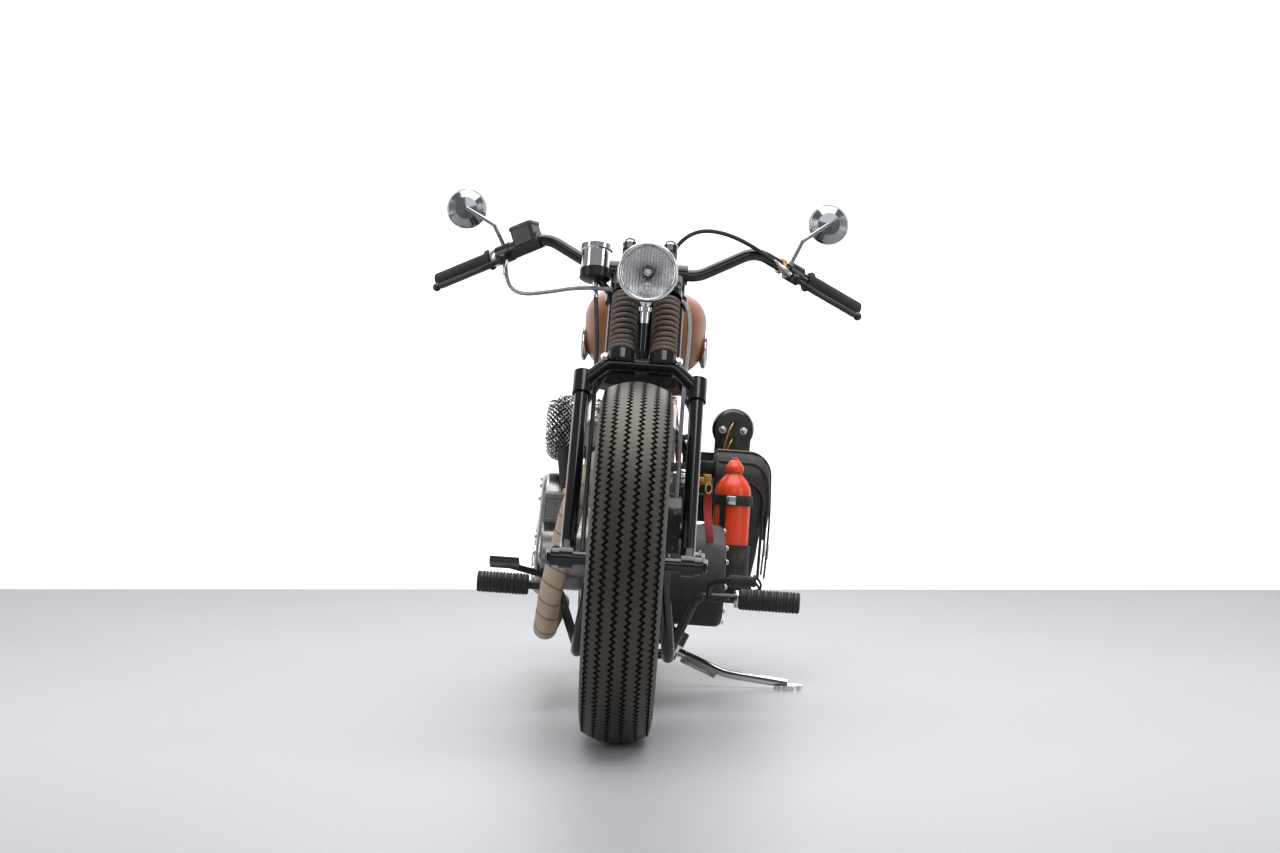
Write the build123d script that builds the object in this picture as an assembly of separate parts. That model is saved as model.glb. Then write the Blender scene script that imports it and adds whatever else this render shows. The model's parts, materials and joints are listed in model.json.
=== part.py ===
"""A rigid-frame bobber motorcycle with a springer fork, leaning on its side stand.

Every piece is drawn upright first, with x to the rider's left, y to the rear and z up.
The ground is z = 0 and the front axle is at y = 0. At the end the whole machine is leaned
onto its stand and moved so that the origin is the bottom centre of its bounding box.
"""

import os
from math import cos, radians, sin, tan

from build123d import *

# Stance, in millimetres and degrees
LEAN = 4.0
WHEELBASE = 1480.0
RAKE = 30.0
AXLE_AHEAD = 90.0  # front axle ahead of the steering axis

# Wheels: both alike
TYRE_OD = 687.0
TYRE_WIDTH = 140.0
TREAD_WIDTH = 104.0
TREAD_RADIUS = 150.0
RIM_SEAT_D = 406.0
RIM_WIDTH = 84.0  # between the flanges
RIM_FLANGE = 13.0
RIM_WALL = 5.0
RIM_WELL = 18.0
HUB_D = 62.0
HUB_FLANGE_D = 96.0
HUB_FLANGE_T = 6.0
HUB_FLANGE_X = 42.0
HUB_LENGTH = 112.0
SPOKE_D = 4.0
SPOKES_PER_SIDE = 20
AXLE_D = 20.0
RUNNING = 0.1  # radial clearance of a bearing
SEAT_GAP = 0.3  # clearance of a seated piece
MOVING_GAP = 5.0  # clearance between pieces that move past each other

# Brakes
DISC_D = 290.0
DISC_T = 5.0
DISC_BAND = 40.0
CALIPER_LENGTH = 110.0
CALIPER_HEIGHT = 56.0

# Fork
LEG_D = 28.0
LEG_X = 116.0
REAR_LEG_AHEAD = 10.0
FRONT_LEG_AHEAD = 60.0
REAR_PIVOT_UP = 58.0
FRONT_PIVOT_UP = 31.0
ROCKER_R = 21.0
ROCKER_T = 26.0
STEM_D = 34.0
NECK_D = 52.0
NECK_LOW = 480.0  # along the steering axis, from the foot of the axle's perpendicular
NECK_HIGH = 640.0
CROWN_T = 24.0
TREE_T = 18.0
LEG_TOP_X = 64.0  # rear legs bend in to here above the tyre
YOKE_UP = 440.0
SPRING_X = 42.0
SPRING_AHEAD = 84.0
SPRING_LOW = YOKE_UP + 28.0
SPRING_HIGH = SPRING_LOW + 144.0
SPRING_D = 57.0
SPRING_WIRE = 9.0
REBOUND_D = 30.0
REBOUND_WIRE = 4.0
REBOUND_HIGH = SPRING_HIGH + 110.0
BRIDGE_T = 14.0
ROD_D = 14.0

# Handlebar
BAR_D = 25.4
BAR_CENTRE = (0.0, 445.0, 930.0)
BAR_STRAIGHT = 105.0
BAR_RISE_X = 222.0
BAR_RISE = 62.0
BAR_RISE_BACK = 12.0
BAR_END_X = 449.0
BAR_END_DROP = 39.0
BAR_END_BACK = 115.0
GRIP_D = 36.0
GRIP_LENGTH = 134.0
MIRROR_D = 86.0

# Headlamp and gauge
LAMP_D = 118.0
LAMP_DEPTH = 92.0
LAMP_UP = 622.0
LAMP_AHEAD = 150.0
GAUGE_D = 62.0
GAUGE_H = 78.0

# Frame
TUBE_D = 28.0
BACKBONE_D = 38.0
RAIL_X = 98.0
RAIL_Z = 118.0
STAY_X = 127.0
CROSS_D = 22.0
SEAT_JUNCTION = (880.0, 690.0)  # y, z where the upper stays leave the backbone
STAY_KNEE = (118.0, WHEELBASE - 360.0, 557.0)  # the upper stays splay out to here
AXLE_PLATE_T = 12.0

# Engine: a V-twin in unit with its gearbox
CRANK = (700.0, 270.0)  # y, z
VEE = 45.0
CASE_R = 128.0
GEARBOX = (895.0, 285.0)
GEARBOX_R = 95.0
CASE_WIDTH = 176.0
BARREL_LOW = 132.0  # from the crank, along each cylinder
BARREL_HIGH = 262.0
FIN_D = 156.0
BORE_WALL_D = 104.0
FIN_T = 5.0
FINS = 9
HEAD_HIGH = 338.0
HEAD_LENGTH = 150.0
HEAD_WIDTH = 160.0
BOX_HIGH = 398.0

# Tank, seat and rear guard
TANK_FRONT = 470.0
TANK_REAR = 852.0
SEAT_NOSE = SEAT_JUNCTION[0] + 25.0
SEAT_LENGTH = 290.0
SEAT_REAR = SEAT_NOSE + SEAT_LENGTH
SEAT_LOW = 694.0
SEAT_T = 50.0
SEAT_WIDTH = 280.0
GUARD_GAP = 26.0
GUARD_T = 3.0
GUARD_WIDTH = 172.0

# Chain drive on the right
CHAIN_X = -84.0
CHAIN_W = 16.0
CHAIN_T = 14.0
REAR_SPROCKET_R = 112.0
DRIVE_SPROCKET_R = 46.0
DRIVE_SPROCKET = (925.0, 285.0)  # y, z
POCKET_X = -70.0  # the drive sprocket sits in a pocket of the case

# Luggage on the left
BAG_FRONT = WHEELBASE - 368.0
BAG_LENGTH = 285.0
BAG_LOW = 222.0
BAG_HEIGHT = 340.0
BAG_T = 128.0
BOTTLE_D = 88.0
BOTTLE_H = 300.0

# Worked out from the above
TYRE_R = TYRE_OD / 2
RIM_SEAT_R = RIM_SEAT_D / 2
FRONT_AXLE = Vector(0, 0, TYRE_R)
REAR_AXLE = Vector(0, WHEELBASE, TYRE_R)
STEER_UP = Vector(0, sin(radians(RAKE)), cos(radians(RAKE)))
STEER_AHEAD = Vector(0, -cos(radians(RAKE)), sin(radians(RAKE)))
STEER_FOOT = FRONT_AXLE - STEER_AHEAD * AXLE_AHEAD
X = Vector(1, 0, 0)
SIDES = (1, -1)

parts = {}


# Shared shapes


def on_fork(x, up, ahead):
    """A point given across, up along the steering axis and ahead of it."""
    return STEER_FOOT + X * x + STEER_UP * up + STEER_AHEAD * ahead


def rod(start, end, diameter):
    """A straight round bar between two points."""
    start, end = Vector(start), Vector(end)
    plane = Plane(origin=start, z_dir=end - start)
    return extrude(plane * Circle(diameter / 2), (end - start).length)


def tube(points, diameter, bends):
    """A round tube along straight runs joined by arcs of the given radii."""
    path = FilletPolyline(*[tuple(Vector(p)) for p in points], radius=bends)
    section = Plane(origin=path @ 0, z_dir=path % 0) * Circle(diameter / 2)
    return sweep(section, path=path)


def across(x, y, z, diameter, length):
    """A round boss along x, from x outwards by a signed length."""
    return rod((x, y, z), (x + length, y, z), diameter)


def spun(points, origin, axis):
    """A solid of revolution: points are (radius, height along the axis)."""
    plane = Plane(origin=origin, x_dir=axis.cross(Vector(0.3, 0.5, 0.8)), z_dir=axis)
    side = Plane(origin=origin, x_dir=plane.x_dir, z_dir=plane.x_dir.cross(axis))
    outline = side * make_face(Polyline(*points, close=True))
    return revolve(outline, Axis(origin, axis))


def linked(circles, x_low, x_high):
    """A plate along x whose outline is the belt around circles of (y, z, radius)."""
    discs = [Pos(y, z) * Circle(r) for y, z, r in circles]
    outline = make_hull(sum(discs[1:], discs[0]).edges())
    plane = Plane(origin=(x_low, 0, 0), x_dir=(0, 1, 0), z_dir=(1, 0, 0))
    return extrude(plane * outline, x_high - x_low)


def ridged(length, inner_r, outer_r, ridge, count):
    """Outline of a bar with count even ridges, as (radius, height) points."""
    pitch = length / count
    points = [(0, 0)]
    for i in range(count):
        low = i * pitch + (pitch - ridge) / 2
        points += [(inner_r, low), (outer_r, low), (outer_r, low + ridge), (inner_r, low + ridge)]
    return points + [(0, length)]


def coil(start, axis, length, diameter, wire):
    """A coil spring as a sleeve with one rounded turn after another."""
    turns = round(length / (wire * 1.5))
    pitch = length / turns
    core = diameter / 2 - wire
    points = [(core - wire / 2, 0)]
    for i in range(turns):
        low = i * pitch
        points += [
            (core, low),
            (diameter / 2 - wire * 0.2, low + pitch * 0.2),
            (diameter / 2, low + pitch * 0.5),
            (diameter / 2 - wire * 0.2, low + pitch * 0.8),
        ]
    points += [(core, length), (core - wire / 2, length)]
    return spun(points, start, axis)


# Wheels


def tyre(centre):
    """Tyre with a flat-crowned tread, round shoulders and bulged sidewalls."""
    bead_x = RIM_WIDTH / 2
    flange_r = RIM_SEAT_R + RIM_FLANGE
    wide_r = (flange_r + TYRE_R) / 2
    tread_x = TREAD_WIDTH / 2
    shoulder_r = TYRE_R - 12
    half = [(bead_x, RIM_SEAT_R + SEAT_GAP), (bead_x, flange_r), (TYRE_WIDTH / 2 - 4, wide_r - 26)]
    half += [(TYRE_WIDTH / 2, wide_r), (TYRE_WIDTH / 2 - 5, wide_r + 26), (tread_x, shoulder_r)]
    crown = [(tread_x / 2, TYRE_R - 3), (0, TYRE_R)]
    outline = half + crown + [(-x, r) for x, r in reversed(half + crown[:1])]
    return spun([(r, x) for x, r in outline], centre, X)


def spoke_ends(side, i):
    """Hub and rim ends of one spoke, as (x, angle, radius)."""
    step = 360 / SPOKES_PER_SIDE
    lead = 1 if i % 2 else -1
    angle = i * step + (step / 2 if side < 0 else 0)
    hub = (side * (HUB_FLANGE_X + lead * HUB_FLANGE_T * 0.4), angle, HUB_FLANGE_D / 2 - 5)
    rim = (side * 12.0, angle + lead * step * 1.2, RIM_SEAT_R - RIM_WELL + 2)
    return hub, rim


def wheel(centre):
    """Hub, spokes and rim in one piece, as laced."""
    seat, flange, edge = RIM_SEAT_R, RIM_SEAT_R + RIM_FLANGE, RIM_WIDTH / 2 + SEAT_GAP
    inner = seat - RIM_WELL
    rim = [(flange, edge), (flange, edge + RIM_WALL), (seat - RIM_WALL, edge + RIM_WALL)]
    rim += [(inner, RIM_WIDTH / 4), (inner, -RIM_WIDTH / 4), (seat - RIM_WALL, -edge - RIM_WALL)]
    rim += [(flange, -edge - RIM_WALL), (flange, -edge), (seat, -edge), (seat, edge)]
    bore, body, lip = AXLE_D / 2 + RUNNING, HUB_D / 2, HUB_FLANGE_D / 2
    in_x, out_x = HUB_FLANGE_X - HUB_FLANGE_T / 2, HUB_FLANGE_X + HUB_FLANGE_T / 2
    end = HUB_LENGTH / 2
    hub = [(bore, -end), (body, -end), (body, -out_x), (lip, -out_x), (lip, -in_x), (body, -in_x)]
    hub += [(body, in_x), (lip, in_x), (lip, out_x), (body, out_x), (body, end), (bore, end)]
    spokes = []
    for side in SIDES:
        for i in range(SPOKES_PER_SIDE):
            ends = [
                centre + Vector(x, r * cos(radians(a)), r * sin(radians(a)))
                for x, a, r in spoke_ends(side, i)
            ]
            spokes.append(rod(*ends, SPOKE_D))
    return spun(rim, centre, X).fuse(spun(hub, centre, X), *spokes)


def ring(centre, x_low, x_high, outer_r, inner_r):
    """A flat washer-like ring about x."""
    points = [(inner_r, x_low), (outer_r, x_low), (outer_r, x_high), (inner_r, x_high)]
    return spun(points, centre, X)


DISC_X = HUB_LENGTH / 2  # the discs bolt to the hubs' left faces
for name, centre in (("front", FRONT_AXLE), ("rear", REAR_AXLE)):
    parts[f"{name}_tyre"] = tyre(centre)
    disc = ring(centre, DISC_X, DISC_X + DISC_T, DISC_D / 2, AXLE_D / 2 + MOVING_GAP)
    parts[f"{name}_wheel"] = wheel(centre).fuse(disc)

SPROCKET_T = 7.0
sprocket_x = CHAIN_X - SPROCKET_T / 2
carrier = ring(REAR_AXLE, sprocket_x, -HUB_LENGTH / 2, HUB_D / 2, AXLE_D / 2 + MOVING_GAP)
sprocket = ring(REAR_AXLE, sprocket_x, sprocket_x + SPROCKET_T, REAR_SPROCKET_R, HUB_D / 2 - 5)
parts["rear_wheel"] = parts["rear_wheel"].fuse(carrier, sprocket)


# Springer fork

ROCKER_IN = LEG_X - ROCKER_T / 2
ROCKER_OUT = LEG_X + ROCKER_T / 2
rear_pivot = on_fork(0, REAR_PIVOT_UP, REAR_LEG_AHEAD)
front_pivot = on_fork(0, FRONT_PIVOT_UP, FRONT_LEG_AHEAD)
AXLE_REACH = ROCKER_OUT + 26
NUT_D = 34.0


def axle(centre, inner, outer, reach):
    """A wheel spindle with a spacer each side and a nut outside what carries it."""
    bar = across(-reach, centre.Y, centre.Z, AXLE_D, 2 * reach)
    for side in SIDES:
        spacer = HUB_LENGTH / 2 + MOVING_GAP / 5
        bar += across(side * spacer, centre.Y, centre.Z, AXLE_D + 8, side * (inner - spacer))
        bar += across(side * outer, centre.Y, centre.Z, NUT_D, side * 14)
    return bar


front_axle = axle(FRONT_AXLE, ROCKER_IN, ROCKER_OUT, AXLE_REACH)
rocker_circles = [(p.Y, p.Z, ROCKER_R) for p in (rear_pivot, front_pivot, FRONT_AXLE)]
rockers = {side: linked(rocker_circles, *sorted((side * ROCKER_IN, side * ROCKER_OUT))) for side in SIDES}
bolts = [
    across(side * ROCKER_OUT, p.Y, p.Z, 24, side * 10) for side in SIDES for p in (rear_pivot, front_pivot)
]
parts["fork_rockers"] = front_axle.fuse(*rockers.values(), *bolts)

neck_low, neck_high = on_fork(0, NECK_LOW, 0), on_fork(0, NECK_HIGH, 0)
crown_low = NECK_LOW - SEAT_GAP - CROWN_T
tree_low = NECK_HIGH + SEAT_GAP
LEG_BEND_LOW = 395.0
LEG_BEND_HIGH = crown_low + 40


def fork_slab(up, thickness, circles):
    """A plate square to the steering axis, around circles of (x, ahead, radius)."""
    discs = [Pos(x, ahead) * Circle(r) for x, ahead, r in circles]
    outline = make_hull(sum(discs[1:], discs[0]).edges())
    plane = Plane(origin=on_fork(0, up, 0), x_dir=(-1, 0, 0), z_dir=STEER_UP)
    return extrude(plane * outline, thickness)


rear_legs = [
    tube(
        [
            on_fork(side * LEG_X, REAR_PIVOT_UP, REAR_LEG_AHEAD),
            on_fork(side * LEG_X, LEG_BEND_LOW, REAR_LEG_AHEAD),
            on_fork(side * LEG_TOP_X, LEG_BEND_HIGH, REAR_LEG_AHEAD),
            on_fork(side * LEG_TOP_X, tree_low + TREE_T, REAR_LEG_AHEAD),
        ],
        LEG_D,
        55,
    )
    for side in SIDES
]
leg_pads = [(s * LEG_TOP_X, REAR_LEG_AHEAD, LEG_D / 2 + 8) for s in SIDES]
crown = fork_slab(crown_low, CROWN_T, [*leg_pads, (0, 0, NECK_D / 2)])
top_tree = fork_slab(tree_low, TREE_T, [*leg_pads, (0, 0, NECK_D / 2)])
stem = rod(on_fork(0, crown_low, 0), on_fork(0, tree_low + TREE_T, 0), STEM_D)
rigid_fork = rear_legs[0].fuse(rear_legs[1], crown, top_tree, stem)
bridge = fork_slab(
    SPRING_HIGH, BRIDGE_T, [(s * SPRING_X, SPRING_AHEAD, SPRING_D / 2 + 2) for s in SIDES]
)
bridge_arms = [
    rod(on_fork(s * LEG_TOP_X, SPRING_HIGH + BRIDGE_T / 2, REAR_LEG_AHEAD),
        on_fork(s * SPRING_X, SPRING_HIGH + BRIDGE_T / 2, SPRING_AHEAD), BRIDGE_T)
    for s in SIDES
]  # fmt: skip
rigid_fork = rigid_fork.fuse(bridge, *bridge_arms)

front_legs = [
    rod(on_fork(s * LEG_X, FRONT_PIVOT_UP, FRONT_LEG_AHEAD),
        on_fork(s * LEG_X, YOKE_UP - 40, FRONT_LEG_AHEAD), LEG_D)
    for s in SIDES
]  # fmt: skip
yoke_bar = tube(
    [
        on_fork(LEG_X, YOKE_UP - 30, FRONT_LEG_AHEAD),
        on_fork(SPRING_X + 24, YOKE_UP + 10, SPRING_AHEAD - 6),
        on_fork(-SPRING_X - 24, YOKE_UP + 10, SPRING_AHEAD - 6),
        on_fork(-LEG_X, YOKE_UP - 30, FRONT_LEG_AHEAD),
    ],
    LEG_D,
    30,
)
leg_caps = [
    rod(on_fork(s * LEG_X, YOKE_UP - 56, FRONT_LEG_AHEAD),
        on_fork(s * LEG_X, YOKE_UP - 6, FRONT_LEG_AHEAD), LEG_D + 10)
    for s in SIDES
]  # fmt: skip
PERCH_T = 22.0
perches = [
    rod(on_fork(s * SPRING_X, SPRING_LOW - PERCH_T, SPRING_AHEAD),
        on_fork(s * SPRING_X, SPRING_LOW, SPRING_AHEAD), SPRING_D)
    for s in SIDES
]  # fmt: skip
rods = [
    rod(on_fork(s * SPRING_X, SPRING_LOW, SPRING_AHEAD),
        on_fork(s * SPRING_X, REBOUND_HIGH + 22, SPRING_AHEAD), ROD_D)
    for s in SIDES
]  # fmt: skip
nuts = [
    rod(on_fork(s * SPRING_X, REBOUND_HIGH, SPRING_AHEAD),
        on_fork(s * SPRING_X, REBOUND_HIGH + 14, SPRING_AHEAD), REBOUND_D)
    for s in SIDES
]  # fmt: skip
all_rockers = parts["fork_rockers"]
sprung_fork = yoke_bar.fuse(*leg_caps, *front_legs, *perches, *rods, *nuts) - all_rockers
parts["fork_rigid_legs"] = rigid_fork - all_rockers - Compound(rods)
parts["fork_spring_legs"] = sprung_fork
# Springs: low end, high end, outer diameter, wire
SPRINGS = (
    (SPRING_LOW, SPRING_HIGH, SPRING_D, SPRING_WIRE),
    (SPRING_HIGH + BRIDGE_T, REBOUND_HIGH, REBOUND_D, REBOUND_WIRE),
)
parts["fork_springs"] = Compound(
    [
        coil(on_fork(s * SPRING_X, low, SPRING_AHEAD), STEER_UP, high - low, diameter, wire)
        for low, high, diameter, wire in SPRINGS
        for s in SIDES
    ]
)


CALIPER_OUT = 98.0
CALIPER_LUG_D = 26.0


def caliper(centre, angle, lug_y, lug_z):
    """A brake caliper over the disc's rim, with a lug out to the tube that carries it."""
    reach = DISC_D / 2 - DISC_BAND / 2
    y = centre.Y + reach * cos(radians(angle))
    z = centre.Z + reach * sin(radians(angle))
    low = DISC_X - 15
    block = Pos(0, y, z) * Rot(X=angle) * Pos((low + CALIPER_OUT) / 2, 8, 0) * Box(
        CALIPER_OUT - low, CALIPER_HEIGHT, CALIPER_LENGTH
    )
    block = fillet(block.edges().filter_by(Axis.X), 14)
    slot = ring(centre, DISC_X - MOVING_GAP, DISC_X + DISC_T + MOVING_GAP, DISC_D / 2 + MOVING_GAP, HUB_D / 2)
    return block.fuse(across(CALIPER_OUT - 10, lug_y, lug_z, CALIPER_LUG_D, 30)) - slot


lug_at = on_fork(0, 112, REAR_LEG_AHEAD)
parts["front_caliper"] = caliper(FRONT_AXLE, 32, lug_at.Y, lug_at.Z) - parts["fork_rigid_legs"]


# Handlebar and controls


def bar_point(side, x, back, rise):
    return Vector(side * x, BAR_CENTRE[1] + back, BAR_CENTRE[2] + rise)


bar_points = [
    bar_point(1, BAR_END_X, BAR_END_BACK, -BAR_END_DROP),
    bar_point(1, BAR_RISE_X, BAR_RISE_BACK, BAR_RISE),
    bar_point(1, BAR_STRAIGHT, 0, 0),
    bar_point(-1, BAR_STRAIGHT, 0, 0),
    bar_point(-1, BAR_RISE_X, BAR_RISE_BACK, BAR_RISE),
    bar_point(-1, BAR_END_X, BAR_END_BACK, -BAR_END_DROP),
]
handlebar = tube(bar_points, BAR_D, [60, 70, 70, 60])
RISER_D = 30.0
riser_base = tree_low + TREE_T
clamp_r = BAR_D / 2 + 9
risers = []
for side in SIDES:
    top = Vector(side * LEG_TOP_X, BAR_CENTRE[1], BAR_CENTRE[2])
    post = rod(on_fork(side * LEG_TOP_X, riser_base, REAR_LEG_AHEAD), top, RISER_D)
    clamp = across(side * LEG_TOP_X - 18, top.Y, top.Z, 2 * clamp_r, 36)
    risers += [post, clamp]
parts["handlebar"] = handlebar.fuse(*risers) - parts["fork_rigid_legs"]

grips, bands = [], {}
for side in SIDES:
    end = bar_point(side, BAR_END_X, BAR_END_BACK, -BAR_END_DROP)
    knee = bar_point(side, BAR_RISE_X, BAR_RISE_BACK, BAR_RISE)
    inward = (knee - end).normalized()
    grip = rod(end - inward * 6, end + inward * GRIP_LENGTH, GRIP_D)
    flange = rod(end + inward * (GRIP_LENGTH - 6), end + inward * GRIP_LENGTH, GRIP_D + 9)
    grips.append(grip.fuse(flange) - handlebar)
    bands[side] = (end, inward)
parts["grips"] = Compound(grips)
FORWARD_DOWN = Vector(0, -1, -0.35).normalized()


def lever(side):
    """A lever, its perch on the bar and the ball at its tip."""
    end, inward = bands[side]
    perch_at = end + inward * (GRIP_LENGTH + 34)
    perch = rod(perch_at - inward * 16, perch_at + inward * 16, BAR_D + 16)
    pivot = perch_at + FORWARD_DOWN * 44 - inward * 6
    arm = rod(perch_at, pivot, 18)
    tip = end + FORWARD_DOWN * 52 - inward * 2
    blade = tube([pivot, pivot - inward * 50 + FORWARD_DOWN * 10, tip], 11, 60)
    ball = Pos(*tip) * Sphere(9)
    return perch.fuse(arm, blade, ball) - handlebar


clutch_lever = lever(1)
end, inward = bands[-1]
cylinder_at = end + inward * (GRIP_LENGTH + 92)
up_square = (Vector(0, 0, 1) - inward * inward.Z).normalized()
RESERVOIR = (52.0, 46.0, 36.0)
box_plane = Plane(origin=cylinder_at + up_square * RESERVOIR[2] / 2, x_dir=inward, z_dir=up_square)
reservoir = box_plane * fillet(Box(*RESERVOIR).edges().filter_by(Axis.Z), 6)
pump = rod(cylinder_at - inward * 44, cylinder_at + inward * 30, BAR_D + 12)
brake_lever = lever(-1).fuse(reservoir, pump) - handlebar
parts["hand_levers"] = Compound([clutch_lever, brake_lever])

MIRROR_AT = {1: (376.0, 500.0, 1065.0), -1: (399.0, 500.0, 1046.0)}


def mirror(side):
    """A round mirror on a bent stem, its shell towards the front."""
    end, inward = bands[side]
    x, y, z = MIRROR_AT[side]
    back = Vector(side * x, y, z)
    foot = end + inward * (GRIP_LENGTH + 34) + up_square * (BAR_D / 2 + 8)
    elbow = Vector(foot.X + side * 22, foot.Y - 6, (foot.Z * 0.45 + back.Z * 0.55))
    stem = tube([foot, elbow, back], 9, 14)
    r = MIRROR_D / 2
    dish = [(0, 0), (r * 0.55, 3), (r * 0.9, 12), (r, 20), (r, 24), (0, 24)]
    return stem.fuse(spun(dish, back - Vector(0, 4, 0), Vector(0, 1, 0)))


parts["mirrors"] = Compound([mirror(1) - clutch_lever, mirror(-1) - brake_lever])

gauge_at = Vector(-111, 382, 901)
GAUGE_AXIS = Vector(0, 0.25, 1).normalized()
gauge = spun(
    [(0, 0), (GAUGE_D / 2 - 4, 0), (GAUGE_D / 2, 8), (GAUGE_D / 2, GAUGE_H - 8),
     (GAUGE_D / 2 + 3, GAUGE_H - 8), (GAUGE_D / 2 + 3, GAUGE_H), (0, GAUGE_H)],
    gauge_at, GAUGE_AXIS,
)  # fmt: skip
gauge_arm = rod(gauge_at + GAUGE_AXIS * 12, on_fork(-LEG_TOP_X, NECK_HIGH + 10, REAR_LEG_AHEAD), 16)
parts["speedometer"] = gauge.fuse(gauge_arm) - parts["fork_rigid_legs"] - parts["handlebar"]

# Headlamp: a bowl with a rim, a lens let into it and a post down to the yoke
lamp_face = on_fork(0, LAMP_UP, LAMP_AHEAD) - Vector(0, 70, 0)
AHEAD = Vector(0, -1, 0)
r = LAMP_D / 2
bowl = spun(
    [(0, -LAMP_DEPTH), (r * 0.45, -LAMP_DEPTH + 6), (r * 0.82, -LAMP_DEPTH * 0.6), (r * 0.94, -18),
     (r, -16), (r, 0), (r - 6, 0), (r - 6, -12), (0, -12)],
    lamp_face, AHEAD,
)  # fmt: skip
lens = spun(
    [(0, -12 + SEAT_GAP), (r - 6 - SEAT_GAP, -12 + SEAT_GAP), (r - 6 - SEAT_GAP, -2), (r * 0.5, 3), (0, 5)],
    lamp_face, AHEAD,
)  # fmt: skip
lamp_foot = lamp_face + Vector(0, 42, -r * 0.7)
post_foot = on_fork(0, YOKE_UP + 12, SPRING_AHEAD - 6)
lamp_post = rod(lamp_foot, post_foot, 16).fuse(rod(lamp_foot, lamp_foot - Vector(0, -4, 26), 24))
lamp_post = lamp_post - parts["fork_spring_legs"] - parts["fork_rigid_legs"]
parts["headlamp"] = bowl.fuse(lamp_post)
parts["headlamp_lens"] = lens


# Frame

neck = rod(neck_low, neck_high, NECK_D) - rod(neck_low, neck_high, STEM_D + 2 * RUNNING)
junction = Vector(0, *SEAT_JUNCTION)
bone_start = on_fork(0, NECK_LOW + 105, 0)
bone_dir = (junction - bone_start).normalized()
backbone = rod(bone_start + bone_dir * (NECK_D / 2 - 6), junction + bone_dir * 8, BACKBONE_D)
stem_room = rod(neck_low, neck_high, STEM_D + 2 * RUNNING)
parts["frame_backbone"] = neck.fuse(backbone) - stem_room

cradle_sides = []
for side in SIDES:
    down = tube(
        [
            on_fork(side * 16, NECK_LOW + 62, -18),
            (side * RAIL_X, 462, RAIL_Z),
            (side * RAIL_X, 960, RAIL_Z),
            (side * STAY_X, WHEELBASE - 40, TYRE_R - 14),
        ],
        TUBE_D,
        [90, 160],
    )
    cradle_sides.append(down - rod(neck_low, neck_high, NECK_D) - parts["frame_backbone"])
CROSS_Y = (585.0, 945.0)
crosses = [across(-RAIL_X, y, RAIL_Z, CROSS_D, 2 * RAIL_X) for y in CROSS_Y]
parts["frame_cradle"] = cradle_sides[0].fuse(cradle_sides[1], *crosses)

STAY_D = 24.0
stay_start = junction + X * 14
stay_knee = Vector(*STAY_KNEE)
stays = [
    tube(
        [
            junction + X * side * stay_start.X,
            (side * stay_knee.X, stay_knee.Y, stay_knee.Z),
            (side * STAY_X, WHEELBASE - 30, TYRE_R + 16),
        ],
        STAY_D,
        120,
    )
    for side in SIDES
]
seat_cross_at = stay_start + (stay_knee - stay_start) * 0.75
seat_cross = across(-seat_cross_at.X, seat_cross_at.Y, seat_cross_at.Z, CROSS_D - 2, 2 * seat_cross_at.X)
parts["frame_upper_stays"] = stays[0].fuse(stays[1], seat_cross) - parts["frame_backbone"]
plate_in, plate_out = STAY_X - AXLE_PLATE_T / 2, STAY_X + AXLE_PLATE_T / 2
rear_axle = axle(REAR_AXLE, plate_in, plate_out, plate_out + 24)
for side in SIDES:
    circles = [(WHEELBASE + 6, TYRE_R, 32), (WHEELBASE - 60, TYRE_R - 22, 20), (WHEELBASE - 52, TYRE_R + 26, 20)]
    rear_axle = rear_axle.fuse(linked(circles, *sorted((side * plate_in, side * plate_out))))
parts["rear_axle_plates"] = rear_axle - parts["frame_cradle"] - parts["frame_upper_stays"]
parts["rear_caliper"] = (
    caliper(REAR_AXLE, 125, WHEELBASE - 85, 410) - parts["frame_upper_stays"] - parts["rear_axle_plates"]
)


# Engine

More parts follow.
